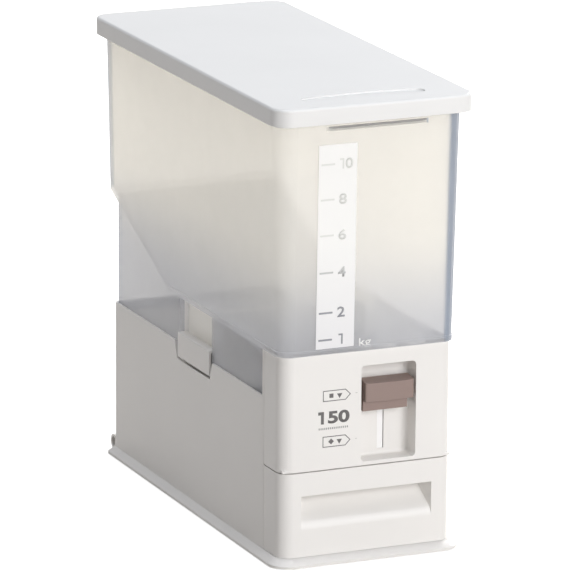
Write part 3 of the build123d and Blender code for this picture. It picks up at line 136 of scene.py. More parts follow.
# %% [markdown]
# ## Moulded plastic
# The base, the drawer and the lid are injection moulded polypropylene with a fine
# spark-eroded texture. Close up the colour drifts a little where the melt flowed, and
# the sheen is broken by the texture. A flat colour would look like paper, so three
# noises are used: a slow one for colour, a middle one for roughness and a fine one for
# bump. The real grain is about 0.1 mm, which is too fine to show, so it is drawn at
# 0.9 mm and kept very shallow.

# %% Moulded plastic material
MELT_FLOW_MM = 90.0
SHEEN_PATCH_MM = 14.0
SHEEN_SPREAD = 0.05
GRAIN_MM = 0.9
GRAIN_STRENGTH = 0.5
# how strongly each plastic bends light
POLYPROPYLENE_IOR = 1.49
ABS_IOR = 1.54
ACETAL_IOR = 1.48


def moulded_plastic(name, pale, deep, roughness, grain_depth_mm, ior=POLYPROPYLENE_IOR):
    """A plastic whose colour drifts between two shades and whose sheen is uneven."""
    material, tree = new_material(name)
    place = add_node(tree, "ShaderNodeTexCoord").outputs["Object"]
    flow = add_node(tree, "ShaderNodeTexNoise", {
        "Vector": place, "Scale": per_metre(MELT_FLOW_MM), "Detail": 2.0})
    colour = add_node(tree, "ShaderNodeMix", {
        FACTOR: flow.outputs["Fac"], FIRST: linear(pale), SECOND: linear(deep)},
        data_type="RGBA")
    patch = add_node(tree, "ShaderNodeTexNoise", {
        "Vector": place, "Scale": per_metre(SHEEN_PATCH_MM), "Detail": 3.0})
    sheen = add_node(tree, "ShaderNodeMapRange", {
        "Value": patch.outputs["Fac"],
        "To Min": roughness - SHEEN_SPREAD, "To Max": roughness + SHEEN_SPREAD})
    grain = add_node(tree, "ShaderNodeTexNoise", {
        "Vector": place, "Scale": per_metre(GRAIN_MM), "Detail": 1.0})
    bump = add_node(tree, "ShaderNodeBump", {
        "Height": grain.outputs["Fac"], "Distance": grain_depth_mm * MM,
        "Strength": GRAIN_STRENGTH})
    shader = add_node(tree, "ShaderNodeBsdfPrincipled", {
        "Base Color": colour.outputs[MIXED], "Roughness": sheen.outputs["Result"],
        "Normal": bump.outputs["Normal"], "IOR": ior})
    finish_material(tree, shader.outputs["BSDF"])
    return material


# each has a name, a pale and a deep shade, a roughness and its grain's depth in mm
# warm white polypropylene: milky, satin, its shadows turn beige
casing_white = moulded_plastic("warm_white_polypropylene", "#F2F0ED", "#EDEBE8", 0.42, 0.02)
# the same resin inside the body, where the tool was left duller
inner_white = moulded_plastic("natural_white_polypropylene", "#EDEDEA", "#E6E6E3", 0.5, 0.03)
# lid: the same resin with a finer texture, which looks a shade cooler
lid_white = moulded_plastic("cool_white_polypropylene", "#EEEEED", "#E9E9E8", 0.38, 0.015)
# taupe ABS lever: dense brown-grey, satin
lever_taupe = moulded_plastic("taupe_abs", "#95817A", "#8A766F", 0.4, 0.03, ior=ABS_IOR)
# acetal slider, gear and bushes: waxy, slightly glossier than polypropylene
acetal = moulded_plastic("white_acetal", "#F1F1EF", "#EAEAE8", 0.3, 0.01, ior=ACETAL_IOR)
print("plastics:", [m.name for m in (casing_white, inner_white, lid_white, lever_taupe, acetal)])

# %% [markdown]
# ## Special places on the tank
# Three places on the tank look different from its plain walls. The bent corners are
# seen lengthwise, so light runs a long way through the plastic and comes out
# blue-grey. The grip ledge under the lid is hollow. It is painted grey as shade, with a
# darker painted shadow on its top. The pockets behind the latches are painted near
# white and nearly solid, as painted light where light comes through the skin. Each
# could be a piece of its own, but the tank is one moulding, so each is a mask: a value
# that is 1 on the place and 0 off it.

# %% Masks on the tank
# product of the normal's X and Y where a bend begins to count and where it counts in full
BEND_FROM = 0.02
BEND_FULL = 0.16
# how far from face on the skin is, on a scale of 0 to 1, at the same two points
GRAZE_FROM = 0.12
GRAZE_FULL = 0.30
# the grip ledge under the lid stands 1 mm and more in front of the tank's front wall
LEDGE_FACE = -213.7
LEDGE_TOP = 405.6
# the latch pockets lie inside the tank's sides and below its floor
POCKET_X = 78.5
POCKET_Y = 38.5
POCKET_TOP = 196.0


def bent_corner(tree, normal):
    """Full on the bends between the front and the side walls, where they turn away."""
    product = add_node(tree, "ShaderNodeMath", {
        0: normal["X"], 1: normal["Y"]}, operation="MULTIPLY").outputs[0]
    bend = add_node(tree, "ShaderNodeMapRange", {
        "Value": product, "From Min": -BEND_FROM, "From Max": -BEND_FULL},
        interpolation_type="SMOOTHSTEP").outputs["Result"]
    facing = add_node(tree, "ShaderNodeLayerWeight", {"Blend": 0.5}).outputs["Facing"]
    grazing = add_node(tree, "ShaderNodeMapRange", {
        "Value": facing, "From Min": GRAZE_FROM, "From Max": GRAZE_FULL},
        interpolation_type="SMOOTHSTEP").outputs["Result"]
    return add_node(tree, "ShaderNodeMath", {
        0: bend, 1: grazing}, operation="MULTIPLY").outputs[0]


def grip_ledge(tree, along):
    """The mask of the ledge under the lid's front, and the mask of its shaded top."""
    ledge = add_node(tree, "ShaderNodeMath", {
        0: along["Y"], 1: LEDGE_FACE * MM}, operation="LESS_THAN").outputs[0]
    top = add_node(tree, "ShaderNodeMath", {
        0: along["Z"], 1: LEDGE_TOP * MM}, operation="GREATER_THAN").outputs[0]
    return ledge, top


def latch_pocket(tree, along):
    """Full in a low box in the middle of the tank, which holds both pockets."""
    off_x = add_node(tree, "ShaderNodeMath", {0: along["X"]}, operation="ABSOLUTE").outputs[0]
    off_y = add_node(tree, "ShaderNodeMath", {0: along["Y"]}, operation="ABSOLUTE").outputs[0]
    in_x = add_node(tree, "ShaderNodeMath", {
        0: off_x, 1: POCKET_X * MM}, operation="LESS_THAN").outputs[0]
    in_y = add_node(tree, "ShaderNodeMath", {
        0: off_y, 1: POCKET_Y * MM}, operation="LESS_THAN").outputs[0]
    in_z = add_node(tree, "ShaderNodeMath", {
        0: along["Z"], 1: POCKET_TOP * MM}, operation="LESS_THAN").outputs[0]
    in_plan = add_node(tree, "ShaderNodeMath", {
        0: in_x, 1: in_y}, operation="MULTIPLY").outputs[0]
    return add_node(tree, "ShaderNodeMath", {
        0: in_plan, 1: in_z}, operation="MULTIPLY").outputs[0]


print("grip ledge: from y =", LEDGE_FACE, "mm forward, its top above z =", LEDGE_TOP, "mm")

# %% [markdown]
# ## Frosted tank
# The tank is clear polypropylene, which crystals in the plastic make milky. It could be
# rough glass, but refraction through two thin skins is slow and noisy. Here each skin
# lets part of the light straight through, and the rest is haze that shines on both
# sides. Haze is denser on the corners, the ledge and the pockets. The plastic looks
# cream where light comes through it and blue-grey low down, where the casing shades
# it, so its colour follows the height: painted light above and painted shade below.

# %% Frosted tank material
# painted shade below the first height and painted light above the second, blended by height
SHADED_BELOW = 200.0
LIT_ABOVE = 300.0
SHADED_TANK = "#DCDEE4"
PAINTED_LIT_TANK = "#F5F4F1"
CORNER_BLUE = "#B1BAC8"
# painted light: the latch pockets near white, standing for light that comes through the skin
POCKET_PAINTED_LIGHT = "#FBFAF8"
# painted shade: the grip ledge grey, and its top darker as a painted shadow
LEDGE_PALE = "#D6D6D5"
LEDGE_SHADED = "#97989C"
# how much of a skin is haze, on the walls and on the three special places
HAZE_WALL = 0.50
HAZE_SPECIAL = 0.82
CLOUD_MM = 35.0
CLOUD_SPREAD = 0.02
TANK_ROUGHNESS = 0.38
# how much of the haze passes light on, where the rest throws it back
GLOW_SHARE = 0.55


def tank_colour(tree, along, corner, ledge, ledge_top, pocket):
    """The wall's colour by height, painted shade low down and painted light higher up, with the
    three special places laid over it.
    """
    rise = add_node(tree, "ShaderNodeMapRange", {
        "Value": along["Z"], "From Min": SHADED_BELOW * MM, "From Max": LIT_ABOVE * MM},
        interpolation_type="SMOOTHSTEP").outputs["Result"]
    ledge_colour = add_node(tree, "ShaderNodeMix", {
        FACTOR: ledge_top, FIRST: linear(LEDGE_PALE), SECOND: linear(LEDGE_SHADED)},
        data_type="RGBA").outputs[MIXED]
    colour = linear(SHADED_TANK)
    for mask, over in ((rise, linear(PAINTED_LIT_TANK)), (corner, linear(CORNER_BLUE)),
                       (pocket, linear(POCKET_PAINTED_LIGHT)), (ledge, ledge_colour)):
        colour = add_node(tree, "ShaderNodeMix", {
            FACTOR: mask, FIRST: colour, SECOND: over}, data_type="RGBA").outputs[MIXED]
    return colour


def tank_haze(tree, place, corner, ledge, pocket):
    """Cloudy on the walls, nearly solid on the three special places."""
    cloud = add_node(tree, "ShaderNodeTexNoise", {
        "Vector": place, "Scale": per_metre(CLOUD_MM), "Detail": 2.0}).outputs["Fac"]
    wall_haze = add_node(tree, "ShaderNodeMapRange", {
        "Value": cloud, "To Min": HAZE_WALL - CLOUD_SPREAD,
        "To Max": HAZE_WALL + CLOUD_SPREAD}).outputs["Result"]
    special = corner
    for mask in (ledge, pocket):
        special = add_node(tree, "ShaderNodeMath", {
            0: special, 1: mask}, operation="MAXIMUM").outputs[0]
    solid = add_node(tree, "ShaderNodeMath", {
        0: special, 1: HAZE_SPECIAL}, operation="MULTIPLY").outputs[0]
    return add_node(tree, "ShaderNodeMath", {
        0: wall_haze, 1: solid}, operation="MAXIMUM").outputs[0]


def frosted_plastic():
    """One skin of the tank: clear in part, and in part haze that shines on both sides."""
    material, tree = new_material("frosted_polypropylene")
    coords = add_node(tree, "ShaderNodeTexCoord").outputs
    place = coords["Object"]
    along = add_node(tree, "ShaderNodeSeparateXYZ", {"Vector": place}).outputs
    normal = add_node(tree, "ShaderNodeSeparateXYZ", {"Vector": coords["Normal"]}).outputs
    corner = bent_corner(tree, normal)
    ledge, ledge_top = grip_ledge(tree, along)
    pocket = latch_pocket(tree, along)
    colour = tank_colour(tree, along, corner, ledge, ledge_top, pocket)
    haze = tank_haze(tree, place, corner, ledge, pocket)
    skin = add_node(tree, "ShaderNodeBsdfPrincipled", {
        "Base Color": colour, "Roughness": TANK_ROUGHNESS, "IOR": POLYPROPYLENE_IOR})
    glow = add_node(tree, "ShaderNodeBsdfTranslucent", {"Color": colour})
    milky = add_node(tree, "ShaderNodeMixShader", {
        0: GLOW_SHARE, 1: skin.outputs["BSDF"], 2: glow.outputs["BSDF"]})
    clear = add_node(tree, "ShaderNodeBsdfTransparent", {"Color": linear("#FFFEFC")})
    wall = add_node(tree, "ShaderNodeMixShader", {
        0: haze, 1: clear.outputs["BSDF"], 2: milky.outputs["Shader"]})
    finish_material(tree, wall.outputs["Shader"])
    return material


frosted = frosted_plastic()
print("tank haze, on walls and on special places:", HAZE_WALL, HAZE_SPECIAL)

# %% [markdown]
# ## Strip, inks, metal and rubber
# The level strip is a thin white film, and the numbers on it are left unprinted, so
# they take the colour of the tank behind them: faint at the top, darker at the bottom.
# That is drawn as an ink whose colour follows the height, and its darkening towards the
# bottom is painted shade of the tank behind. The dark grey ink on the panel is pad
# printed. Screws and pins are zinc-plated steel, and the feet are soft grey rubber.

# %% Strip, ink, steel and rubber materials
INK_ROUGHNESS = 0.5
SPECK_SPREAD = 0.06


def height_ink(name, low_mm, high_mm, low_colour, high_colour):
    """An ink whose colour changes with the height above the ground."""
    material, tree = new_material(name)
    place = add_node(tree, "ShaderNodeTexCoord").outputs["Object"]
    height = add_node(tree, "ShaderNodeSeparateXYZ", {"Vector": place}).outputs["Z"]
    rise = add_node(tree, "ShaderNodeMapRange", {
        "Value": height, "From Min": low_mm * MM, "From Max": high_mm * MM}).outputs["Result"]
    colour = add_node(tree, "ShaderNodeMix", {
        FACTOR: rise, FIRST: linear(low_colour), SECOND: linear(high_colour)},
        data_type="RGBA").outputs[MIXED]
    shader = add_node(tree, "ShaderNodeBsdfPrincipled", {
        "Base Color": colour, "Roughness": INK_ROUGHNESS})
    finish_material(tree, shader.outputs["BSDF"])
    return material


def speckled(name, pale, deep, roughness, speck_mm, metallic=0.0):
    """A finish whose colour and roughness vary in small specks."""
    material, tree = new_material(name)
    place = add_node(tree, "ShaderNodeTexCoord").outputs["Object"]
    speck = add_node(tree, "ShaderNodeTexNoise", {
        "Vector": place, "Scale": per_metre(speck_mm), "Detail": 3.0}).outputs["Fac"]
    colour = add_node(tree, "ShaderNodeMix", {
        FACTOR: speck, FIRST: linear(pale), SECOND: linear(deep)},
        data_type="RGBA").outputs[MIXED]
    rough = add_node(tree, "ShaderNodeMapRange", {
        "Value": speck, "To Min": roughness - SPECK_SPREAD,
        "To Max": roughness + SPECK_SPREAD}).outputs["Result"]
    shader = add_node(tree, "ShaderNodeBsdfPrincipled", {
        "Base Color": colour, "Roughness": rough, "Metallic": metallic})
    finish_material(tree, shader.outputs["BSDF"])
    return material


# white film: slightly greyer at the bottom, where the shaded tank shows through it
strip_film = height_ink("white_film", 200.0, 300.0, "#ECECEE", "#F9F9F7")
# unprinted marks in the film: darker towards the bottom, painted shade of the tank behind them
mark_grey = height_ink("unprinted_marks", 232.0, 298.0, "#92949A", "#E4E5E1")
# pad-printed ink: matt, dark grey
panel_ink = speckled("pad_print_ink", "#6C6A69", "#62605F", 0.6, 2.0)
# white print on the tank
white_ink = speckled("white_print_ink", "#F6F6F5", "#EFEFEE", 0.6, 2.0)
# light grey print for the two small ticks
tick_ink = speckled("grey_print_ink", "#CFCECB", "#C6C5C2", 0.6, 2.0)
# finer print reads as mid grey
fine_ink = speckled("fine_print_ink", "#A3A2A0", "#999896", 0.6, 2.0)
# soft sealing lips: the whitest part of the body
lip_white = speckled("white_soft_elastomer", "#FDFDFD", "#F8F8F8", 0.45, 4.0)
# zinc plating: fine crystals give a soft, slightly uneven shine
zinc_steel = speckled("zinc_plated_steel", "#B9BBBE", "#A3A6AA", 0.34, 1.5, metallic=1.0)
# moulded rubber: matt with a little bloom
grey_rubber = speckled("soft_grey_rubber", "#77777A", "#6A6A6D", 0.8, 3.0)
print("materials so far:", len(bpy.data.materials))

# %% [markdown]
# ## Softened copies of the solids
# A moulded edge is never sharp: the tool leaves a radius of a few tenths of a
# millimetre that catches the light. Solids from CAD have knife edges and loose
# triangles. Each visible piece is therefore copied, its doubles are merged, its flat
# faces are joined, and a small bevel is put on every edge above 30 degrees. Weighted
# normals keep the large faces flat. The CAD node stays for collision and is hidden.

# %% Softened copies
MERGE_MM = 0.004
FLAT_DEG = 0.3
SHARP_DEG = 30.0
BEVEL_SEGMENTS = 2


def softened(node_name, body, edge_mm, material, slot):
    """A copy of a CAD node with rounded edges, which stands for the node."""
    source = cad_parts[node_name]
    piece = bpy.data.objects.new(f"{node_name}_moulded", source.data.copy())
    bpy.context.scene.collection.objects.link(piece)
    use_only(piece)
    bpy.ops.object.mode_set(mode="EDIT")
    bpy.ops.mesh.select_all(action="SELECT")
    bpy.ops.mesh.remove_doubles(threshold=MERGE_MM * MM)
    bpy.ops.mesh.dissolve_limited(angle_limit=math.radians(FLAT_DEG))
    bpy.ops.object.mode_set(mode="OBJECT")
    bevel = piece.modifiers.new("edge", "BEVEL")
    bevel.width = edge_mm * MM
    bevel.segments = BEVEL_SEGMENTS
    bevel.limit_method = "ANGLE"
    bevel.angle_limit = math.radians(SHARP_DEG)
    bpy.ops.object.modifier_apply(modifier=bevel.name)
    bpy.ops.object.shade_smooth_by_angle(angle=math.radians(SHARP_DEG))
    weighted = piece.modifiers.new("flat faces", "WEIGHTED_NORMAL")
    weighted.keep_sharp = True
    bpy.ops.object.modifier_apply(modifier=weighted.name)
    piece.data.materials.clear()
    piece.data.materials.append(material)
    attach(piece, body)
    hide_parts(node_name)
    print(piece.name, triangles(piece), "triangles")


# node, the body it rides on, edge radius in mm, finish and slot
SOFTENED = [
    ("casing", "base", 0.4, casing_white, "casing_white"),
    ("base_plate", "base", 0.5, casing_white, "casing_white"),
    ("front_panel", "base", 0.2, casing_white, "casing_white"),
    ("drawer_front", "drawer", 0.5, casing_white, "casing_white"),
    ("latch_right", "latch_right", 0.3, casing_white, "casing_white"),
    ("latch_left", "latch_left", 0.3, casing_white, "casing_white"),
    ("lever_knob", "lever", 0.6, lever_taupe, "lever_brown"),
    ("lid", "lid", 0.4, lid_white, "lid_white"),
    ("flow_ridge", "base", 0.5, inner_white, "inner_white"),
    ("drawer_tray", "drawer", 0.3, inner_white, "inner_white"),
    ("rubber_feet", "base", 0.3, grey_rubber, "rubber"),
]
for row in SOFTENED:
    softened(*row)
print("softened pieces:", len(SOFTENED))

# %% [markdown]
# ## Finishes for the solids that stay
# The gear, shaft, screws and guides are mostly hidden. Their solids are right as they
# are, so they only take a finish. The tank and its strip are seen, and their solids
# stay too: joining the flat faces of a copy of the tank broke the shading on its slope.

# %% Finishes by node
STAYING = {
    inner_white: ["mechanism_deck", "chute", "housing_lower", "housing_upper",
                  "bearing_bracket", "drum_shell", "drum_cap", "slider_guide"],
    acetal: ["lever_slider", "pinion", "shaft_bushes"],
    strip_film: ["scale_strip"],
    frosted: ["hopper"],
    zinc_steel: ["drum_shaft", "latch_pin_right", "latch_pin_left", "lid_hinge_pins",
                 "base_screws", "panel_screws", "drawer_screws", "housing_screws",
                 "guide_screws"],
}
for material, node_names in STAYING.items():
    for node_name in node_names:
        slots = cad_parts[node_name].data.materials
        slots.clear()
        slots.append(material)
print("nodes with a finish:", sum(len(names) for names in STAYING.values()))

# %% [markdown]
# ## Where the marks are printed
# The marks are on two walls: the front panel, which is upright, and the tank's front,
# which leans outwards a little, so marks on it lean with it. The places are read from
# the frame's own boxes, so the ink lies on the wall and not near it.

# %% Printed walls
INK_MM = 0.08
# the tank's wall goes this much backwards for each millimetre downwards
WALL_SLOPE = 0.0223
WALL_LEAN = math.atan(WALL_SLOPE)
strip_low, strip_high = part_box("scale_strip")
panel_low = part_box("front_panel")[0]
PANEL_FRONT_M = panel_low.y
PANEL_FRONT_MM = PANEL_FRONT_M / MM


def strip_front_mm(z_mm):
    """The strip's face at a height: its highest point stands furthest forward."""
    return strip_low.y / MM + math.tan(WALL_LEAN) * (strip_high.z / MM - z_mm)


print("panel face at y =", round(PANEL_FRONT_MM, 2), "mm")

# %% [markdown]
# ## Ink as thin meshes
# Ink stands a few hundredths of a millimetre proud. A texture image could carry the
# marks, but meshes stay crisp at any distance. Each mark starts flat with its lower
# left corner on the origin, and is then thickened, turned upright and laid on its
# wall. Text becomes a mesh and is scaled to the size measured on the object.

# %% Text and flat marks
# a bar's corner radius, as a share of its height, and the steps it is drawn in
BAR_CORNER = 0.2
BAR_CORNER_STEPS = 3


def lay_on_wall(piece, x_mm, y_mm, z_mm, lean, material):
    """Turn a flat mark upright, put it on a wall and give it its ink."""
    use_only(piece)
    solid = piece.modifiers.new("ink", "SOLIDIFY")
    solid.thickness = INK_MM * MM
    solid.offset = 1.0
    bpy.ops.object.modifier_apply(modifier=solid.name)
    piece.rotation_euler = (math.radians(90) + lean, 0, 0)
    piece.location = (x_mm * MM, y_mm * MM, z_mm * MM)
    apply_place(piece)
    piece.data.materials.clear()
    piece.data.materials.append(material)
    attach(piece, "base")


def lettering(name, words, width_mm, height_mm, weight=0.0):
    """Text as a flat mesh with its lower left corner on the origin."""
    bpy.ops.object.text_add()
    piece = bpy.context.active_object
    piece.name = name
    piece.data.body = words
    piece.data.offset = weight
    bpy.ops.object.convert(target="MESH")
    near = [min(v.co[axis] for v in piece.data.vertices) for axis in (0, 1)]
    far = [max(v.co[axis] for v in piece.data.vertices) for axis in (0, 1)]
    piece.scale = (width_mm * MM / (far[0] - near[0]), height_mm * MM / (far[1] - near[1]), 1)
    piece.location = (-near[0] * piece.scale.x, -near[1] * piece.scale.y, 0)
    apply_place(piece)
    return piece


def flat_sheet(name, width_mm, height_mm):
    """A plain sheet with its lower left corner on the origin."""
    bpy.ops.mesh.primitive_plane_add(size=1, location=(0.5, 0.5, 0))
    piece = bpy.context.active_object
    piece.name = name
    apply_place(piece)
    piece.scale = (width_mm * MM, height_mm * MM, 1)
    apply_place(piece)
    return piece


def flat_bar(name, width_mm, height_mm):
    """A sheet with rounded corners."""
    piece = flat_sheet(name, width_mm, height_mm)
    bpy.ops.object.mode_set(mode="EDIT")
    bpy.ops.mesh.select_all(action="SELECT")
    bpy.ops.mesh.bevel(offset=height_mm * MM * BAR_CORNER, segments=BAR_CORNER_STEPS,
                       affect="VERTICES")
    bpy.ops.object.mode_set(mode="OBJECT")
    return piece


print("ink stands", INK_MM, "mm proud")

# %% [markdown]
# ## Drawing a side out
# A figure one is a stroke with a flag, and a tag is a bar with a point. Both could be
# typed in as lists of points. As by hand, a sheet is made first, one of its sides is
# picked by its place, and that side is drawn out.

# %% The figure one with its flag
# how far below the stem's end its top corners may be found
CORNER_SLACK = 0.1


def pick_side(piece, axis, towards, above_m=-math.inf):
    """Select the edges furthest out along an axis, and nothing else."""
    mesh = piece.data
    far = max(towards * vertex.co[axis] for vertex in mesh.vertices)
    for part in (*mesh.vertices, *mesh.polygons):
        part.select = False
    for edge in mesh.edges:
        ends = [mesh.vertices[i] for i in edge.vertices]
        edge.select = all(abs(towards * end.co[axis] - far) < MERGE_MM * MM
                          and end.co.y > above_m for end in ends)
        if edge.select:
            for end in ends:
                end.select = True


def draw_out(piece, step):
    """Extrude the picked side by a step in metres and stay in edit mode."""
    use_only(piece)
    bpy.ops.object.mode_set(mode="EDIT")
    bpy.ops.mesh.select_mode(type="EDGE")
    bpy.ops.mesh.extrude_region_move(TRANSFORM_OT_translate={"value": step})


def figure_one(name, width_mm, height_mm, stroke_mm):
    """A straight stroke whose top is drawn out to the left into a flag."""
    stem_mm = height_mm - stroke_mm
    piece = flat_sheet(name, stroke_mm, stem_mm)
    piece.location.x = (width_mm - stroke_mm) * MM
    apply_place(piece)
    up = (1, 1, (0, stroke_mm * MM, 0))
    left = (0, -1, ((stroke_mm - width_mm) * MM, 0, 0))
    for axis, towards, step in (up, left):
        pick_side(piece, axis, towards, (stem_mm - CORNER_SLACK) * MM)
        draw_out(piece, step)
        bpy.ops.object.mode_set(mode="OBJECT")
    return piece


print("corners count as equal within", MERGE_MM, "mm")

# %% [markdown]
# ## Level marks
# The strip has a short dash and a number for each level. The numbers' heights were
# measured on the object, and they aren't evenly spaced, because the tank narrows
# towards its floor. The unit is printed in white on the tank beside the strip.

# %% Level marks on the strip
LEVELS = {10: 372.3, 8: 339.8, 6: 306.8, 4: 272.3, 2: 235.1, 1: 209.9}
DASH_X = -50.0
DASH_W = 13.4
DASH_H = 1.7
DIGIT_X = -32.0
DIGIT_H = 9.6
DIGIT_W = 7.4
DIGIT_GAP = 1.4
DIGIT_WEIGHT = 0.018
ONE_W = 4.2
ONE_STROKE = 1.5


def level_digit(name, digit):
    """One figure of a level's number."""
    if digit == "1":
        return figure_one(name, ONE_W, DIGIT_H, ONE_STROKE)
    return lettering(name, digit, DIGIT_W, DIGIT_H, weight=DIGIT_WEIGHT)


for level, z_mm in LEVELS.items():
    face_mm = strip_front_mm(z_mm)
    dash = flat_bar(f"level_dash_{level}", DASH_W, DASH_H)
    lay_on_wall(dash, DASH_X, face_mm, z_mm - DASH_H / 2, WALL_LEAN, mark_grey)
    low_mm = z_mm - DIGIT_H / 2
    x_mm = DIGIT_X
    for place, digit in enumerate(str(level)):
        number = level_digit(f"level_{level}_digit_{place}", digit)
        # a figure one that stands alone is put in the middle of a digit's place
        start = x_mm + (DIGIT_W - ONE_W) / 2 if level == 1 else x_mm
        lay_on_wall(number, start, face_mm, low_mm, WALL_LEAN, mark_grey)
        x_mm += ONE_W + DIGIT_GAP
print("levels marked:", list(LEVELS))

# %% The levels' unit
UNIT_X = -10.2
UNIT_Z = 199.0
UNIT_W = 12.0
UNIT_H = 9.4
UNIT_WEIGHT = 0.012
# the film's thickness, and how deep the unit's ink is sunk into the wall
FILM_MM = 0.35
SUNK_MM = 0.1
unit = lettering("level_unit", "kg", UNIT_W, UNIT_H, weight=UNIT_WEIGHT)
tank_front_mm = strip_front_mm(UNIT_Z) + FILM_MM
lay_on_wall(unit, UNIT_X, tank_front_mm - SUNK_MM, UNIT_Z, WALL_LEAN, white_ink)
print("unit:", triangles(unit), "triangles")

# %% [markdown]
# ## Tags on the panel
# Above and below the portion number stands a small tag that points at the lever, with
# two signs in it: a square or a diamond, and a triangle. A tag is a sheet whose right
# side is drawn out and merged into a point, and whose middle is then cut away by an
# inset. A sign is a filled circle with only three or four corners.

# %% Tags and their signs
TAG_X = -44.0
TAG_Z = {"fill": 151.8, "empty": 109.0}
TAG_W = 27.4
TAG_H = 10.2
TAG_POINT = 5.0
TAG_STROKE = 0.75
# edges of a tag that bend less than this are joined
TAG_FLAT_DEG = 1.0
SIGN_X = (8.3, 16.4)
SQUARE_R = 2.8
TRIANGLE_R = 3.0
# turned by 45 degrees the four corners make a square, unturned a diamond
SQUARE_TURN = {"fill": 45.0, "empty": 0.0}
POINTING_DOWN = 180.0
TICK_X = -12.0
TICK_W = 2.0
TICK_H = 0.6


def tag_outline(name):
    """A tag that points right: a sheet with one side drawn out to a point, then hollowed."""
    piece = flat_sheet(name, TAG_W - TAG_POINT, TAG_H)
    pick_side(piece, 0, 1)
    draw_out(piece, (TAG_POINT * MM, 0, 0))
    bpy.ops.mesh.merge(type="CENTER")
    bpy.ops.mesh.select_all(action="SELECT")
    bpy.ops.mesh.dissolve_limited(angle_limit=math.radians(TAG_FLAT_DEG))
    bpy.ops.mesh.select_all(action="SELECT")
    bpy.ops.mesh.inset(thickness=TAG_STROKE * MM)
    bpy.ops.mesh.delete(type="FACE")
    bpy.ops.object.mode_set(mode="OBJECT")
    return piece


def sign(name, corners, radius_mm, turn_deg):
    """A small filled sign with three or four corners."""
    bpy.ops.mesh.primitive_circle_add(vertices=corners, radius=radius_mm * MM, fill_type="NGON")
    piece = bpy.context.active_object
    piece.name = name
    piece.rotation_euler.z = math.radians(turn_deg)
    apply_place(piece)
    return piece


for purpose, z_mm in TAG_Z.items():
    tag = tag_outline(f"{purpose}_tag")
    lay_on_wall(tag, TAG_X, PANEL_FRONT_MM, z_mm, 0.0, panel_ink)
    middle_mm = z_mm + TAG_H / 2
    shapes = ((4, SQUARE_R, SQUARE_TURN[purpose]), (3, TRIANGLE_R, POINTING_DOWN))
    for sign_x, (corners, radius_mm, turn_deg) in zip(SIGN_X, shapes):
        drawn = sign(f"{purpose}_sign_{corners}", corners, radius_mm, turn_deg)
        lay_on_wall(drawn, TAG_X + sign_x, PANEL_FRONT_MM, middle_mm, 0.0, panel_ink)
    tick = flat_bar(f"{purpose}_tick", TICK_W, TICK_H)
    lay_on_wall(tick, TICK_X, PANEL_FRONT_MM, middle_mm, 0.0, tick_ink)
print("tags:", list(TAG_Z))

# %% [markdown]
# ## Portion number
# The bold number is one portion in grams. The built-in font has a figure one that is a
# bare bar, so only the two other figures come from it, and the one is drawn with the
# same function as the levels' ones. A row of dots stands under it as a fine rule.

# %% Portion number
PORTION_X = -38.9
PORTION_Z = 130.9
PORTION_W = 21.2
PORTION_H = 11.6
PORTION_WEIGHT = 0.035
PORTION_ONE_X = -48.5
PORTION_ONE_W = 5.6
PORTION_ONE_STROKE = 2.9
portion = lettering("portion_number", "50", PORTION_W, PORTION_H, weight=PORTION_WEIGHT)
lay_on_wall(portion, PORTION_X, PANEL_FRONT_MM, PORTION_Z, 0.0, panel_ink)
one = figure_one("portion_number_one", PORTION_ONE_W, PORTION_H, PORTION_ONE_STROKE)
lay_on_wall(one, PORTION_ONE_X, PANEL_FRONT_MM, PORTION_Z, 0.0, panel_ink)
print("portion number:", triangles(portion) + triangles(one), "triangles")

# %% Dotted rule under the number
DOT_W = 1.1
DOT_H = 1.9
DOT_COUNT = 16
DOT_PITCH = 1.85
RULE_X = -48.0
RULE_Z = 125.6
dots = flat_bar("portion_rule", DOT_W, DOT_H)
dot_row = dots.modifiers.new("row", "ARRAY")
dot_row.count = DOT_COUNT
dot_row.use_relative_offset = False
dot_row.use_constant_offset = True
dot_row.constant_offset_displace = (DOT_PITCH * MM, 0, 0)
use_only(dots)
bpy.ops.object.modifier_apply(modifier=dot_row.name)
lay_on_wall(dots, RULE_X, PANEL_FRONT_MM, RULE_Z, 0.0, fine_ink)
print("dots in the rule:", DOT_COUNT)

# %% [markdown]
# ## Sealing lips in the lever's slot
# The slot under the lever shows a bright white line with a dark edge on its right. Soft
# lips that close the slot against dust, and that the lever's stem parts, look like
# that. They are one long strip with rounded edges, set just behind the well's floor.

# %% Sealing lips
LIP_X = (17.75, 23.45)
# behind the panel's front
LIP_Y = (18.2, 18.8)
LIP_Z = (97.2, 161.2)
LIP_EDGE = 0.15
bpy.ops.mesh.primitive_cube_add(size=1)
lips = bpy.context.active_object
lips.name = "slot_lips"
lips.scale = [(high - low) * MM for low, high in (LIP_X, LIP_Y, LIP_Z)]
lips.location = [(high + low) / 2 * MM for low, high in (LIP_X, LIP_Y, LIP_Z)]
lips.location.y += PANEL_FRONT_M
apply_place(lips)
bpy.ops.object.mode_set(mode="EDIT")
bpy.ops.mesh.select_all(action="SELECT")
bpy.ops.mesh.bevel(offset=LIP_EDGE * MM, segments=BEVEL_SEGMENTS, affect="EDGES")
bpy.ops.object.mode_set(mode="OBJECT")
lips.data.materials.append(lip_white)
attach(lips, "base")
print("lips:", triangles(lips), "triangles")

# %% [markdown]
# ## Studio floor and room
# The photograph shows the object cut out on white. The floor and the room look white
# to the camera through Light Path, which puts no extra light on the object, and the
# floor still takes its shadow. For all other rays both are dimmer and a little warm.

# %% Floor
FLOOR_SIZE_M = 14.0
FLOOR_PAPER = "#D6D2CD"
FLOOR_GLOW = 0.72
WHITE = "#FFFFFF"


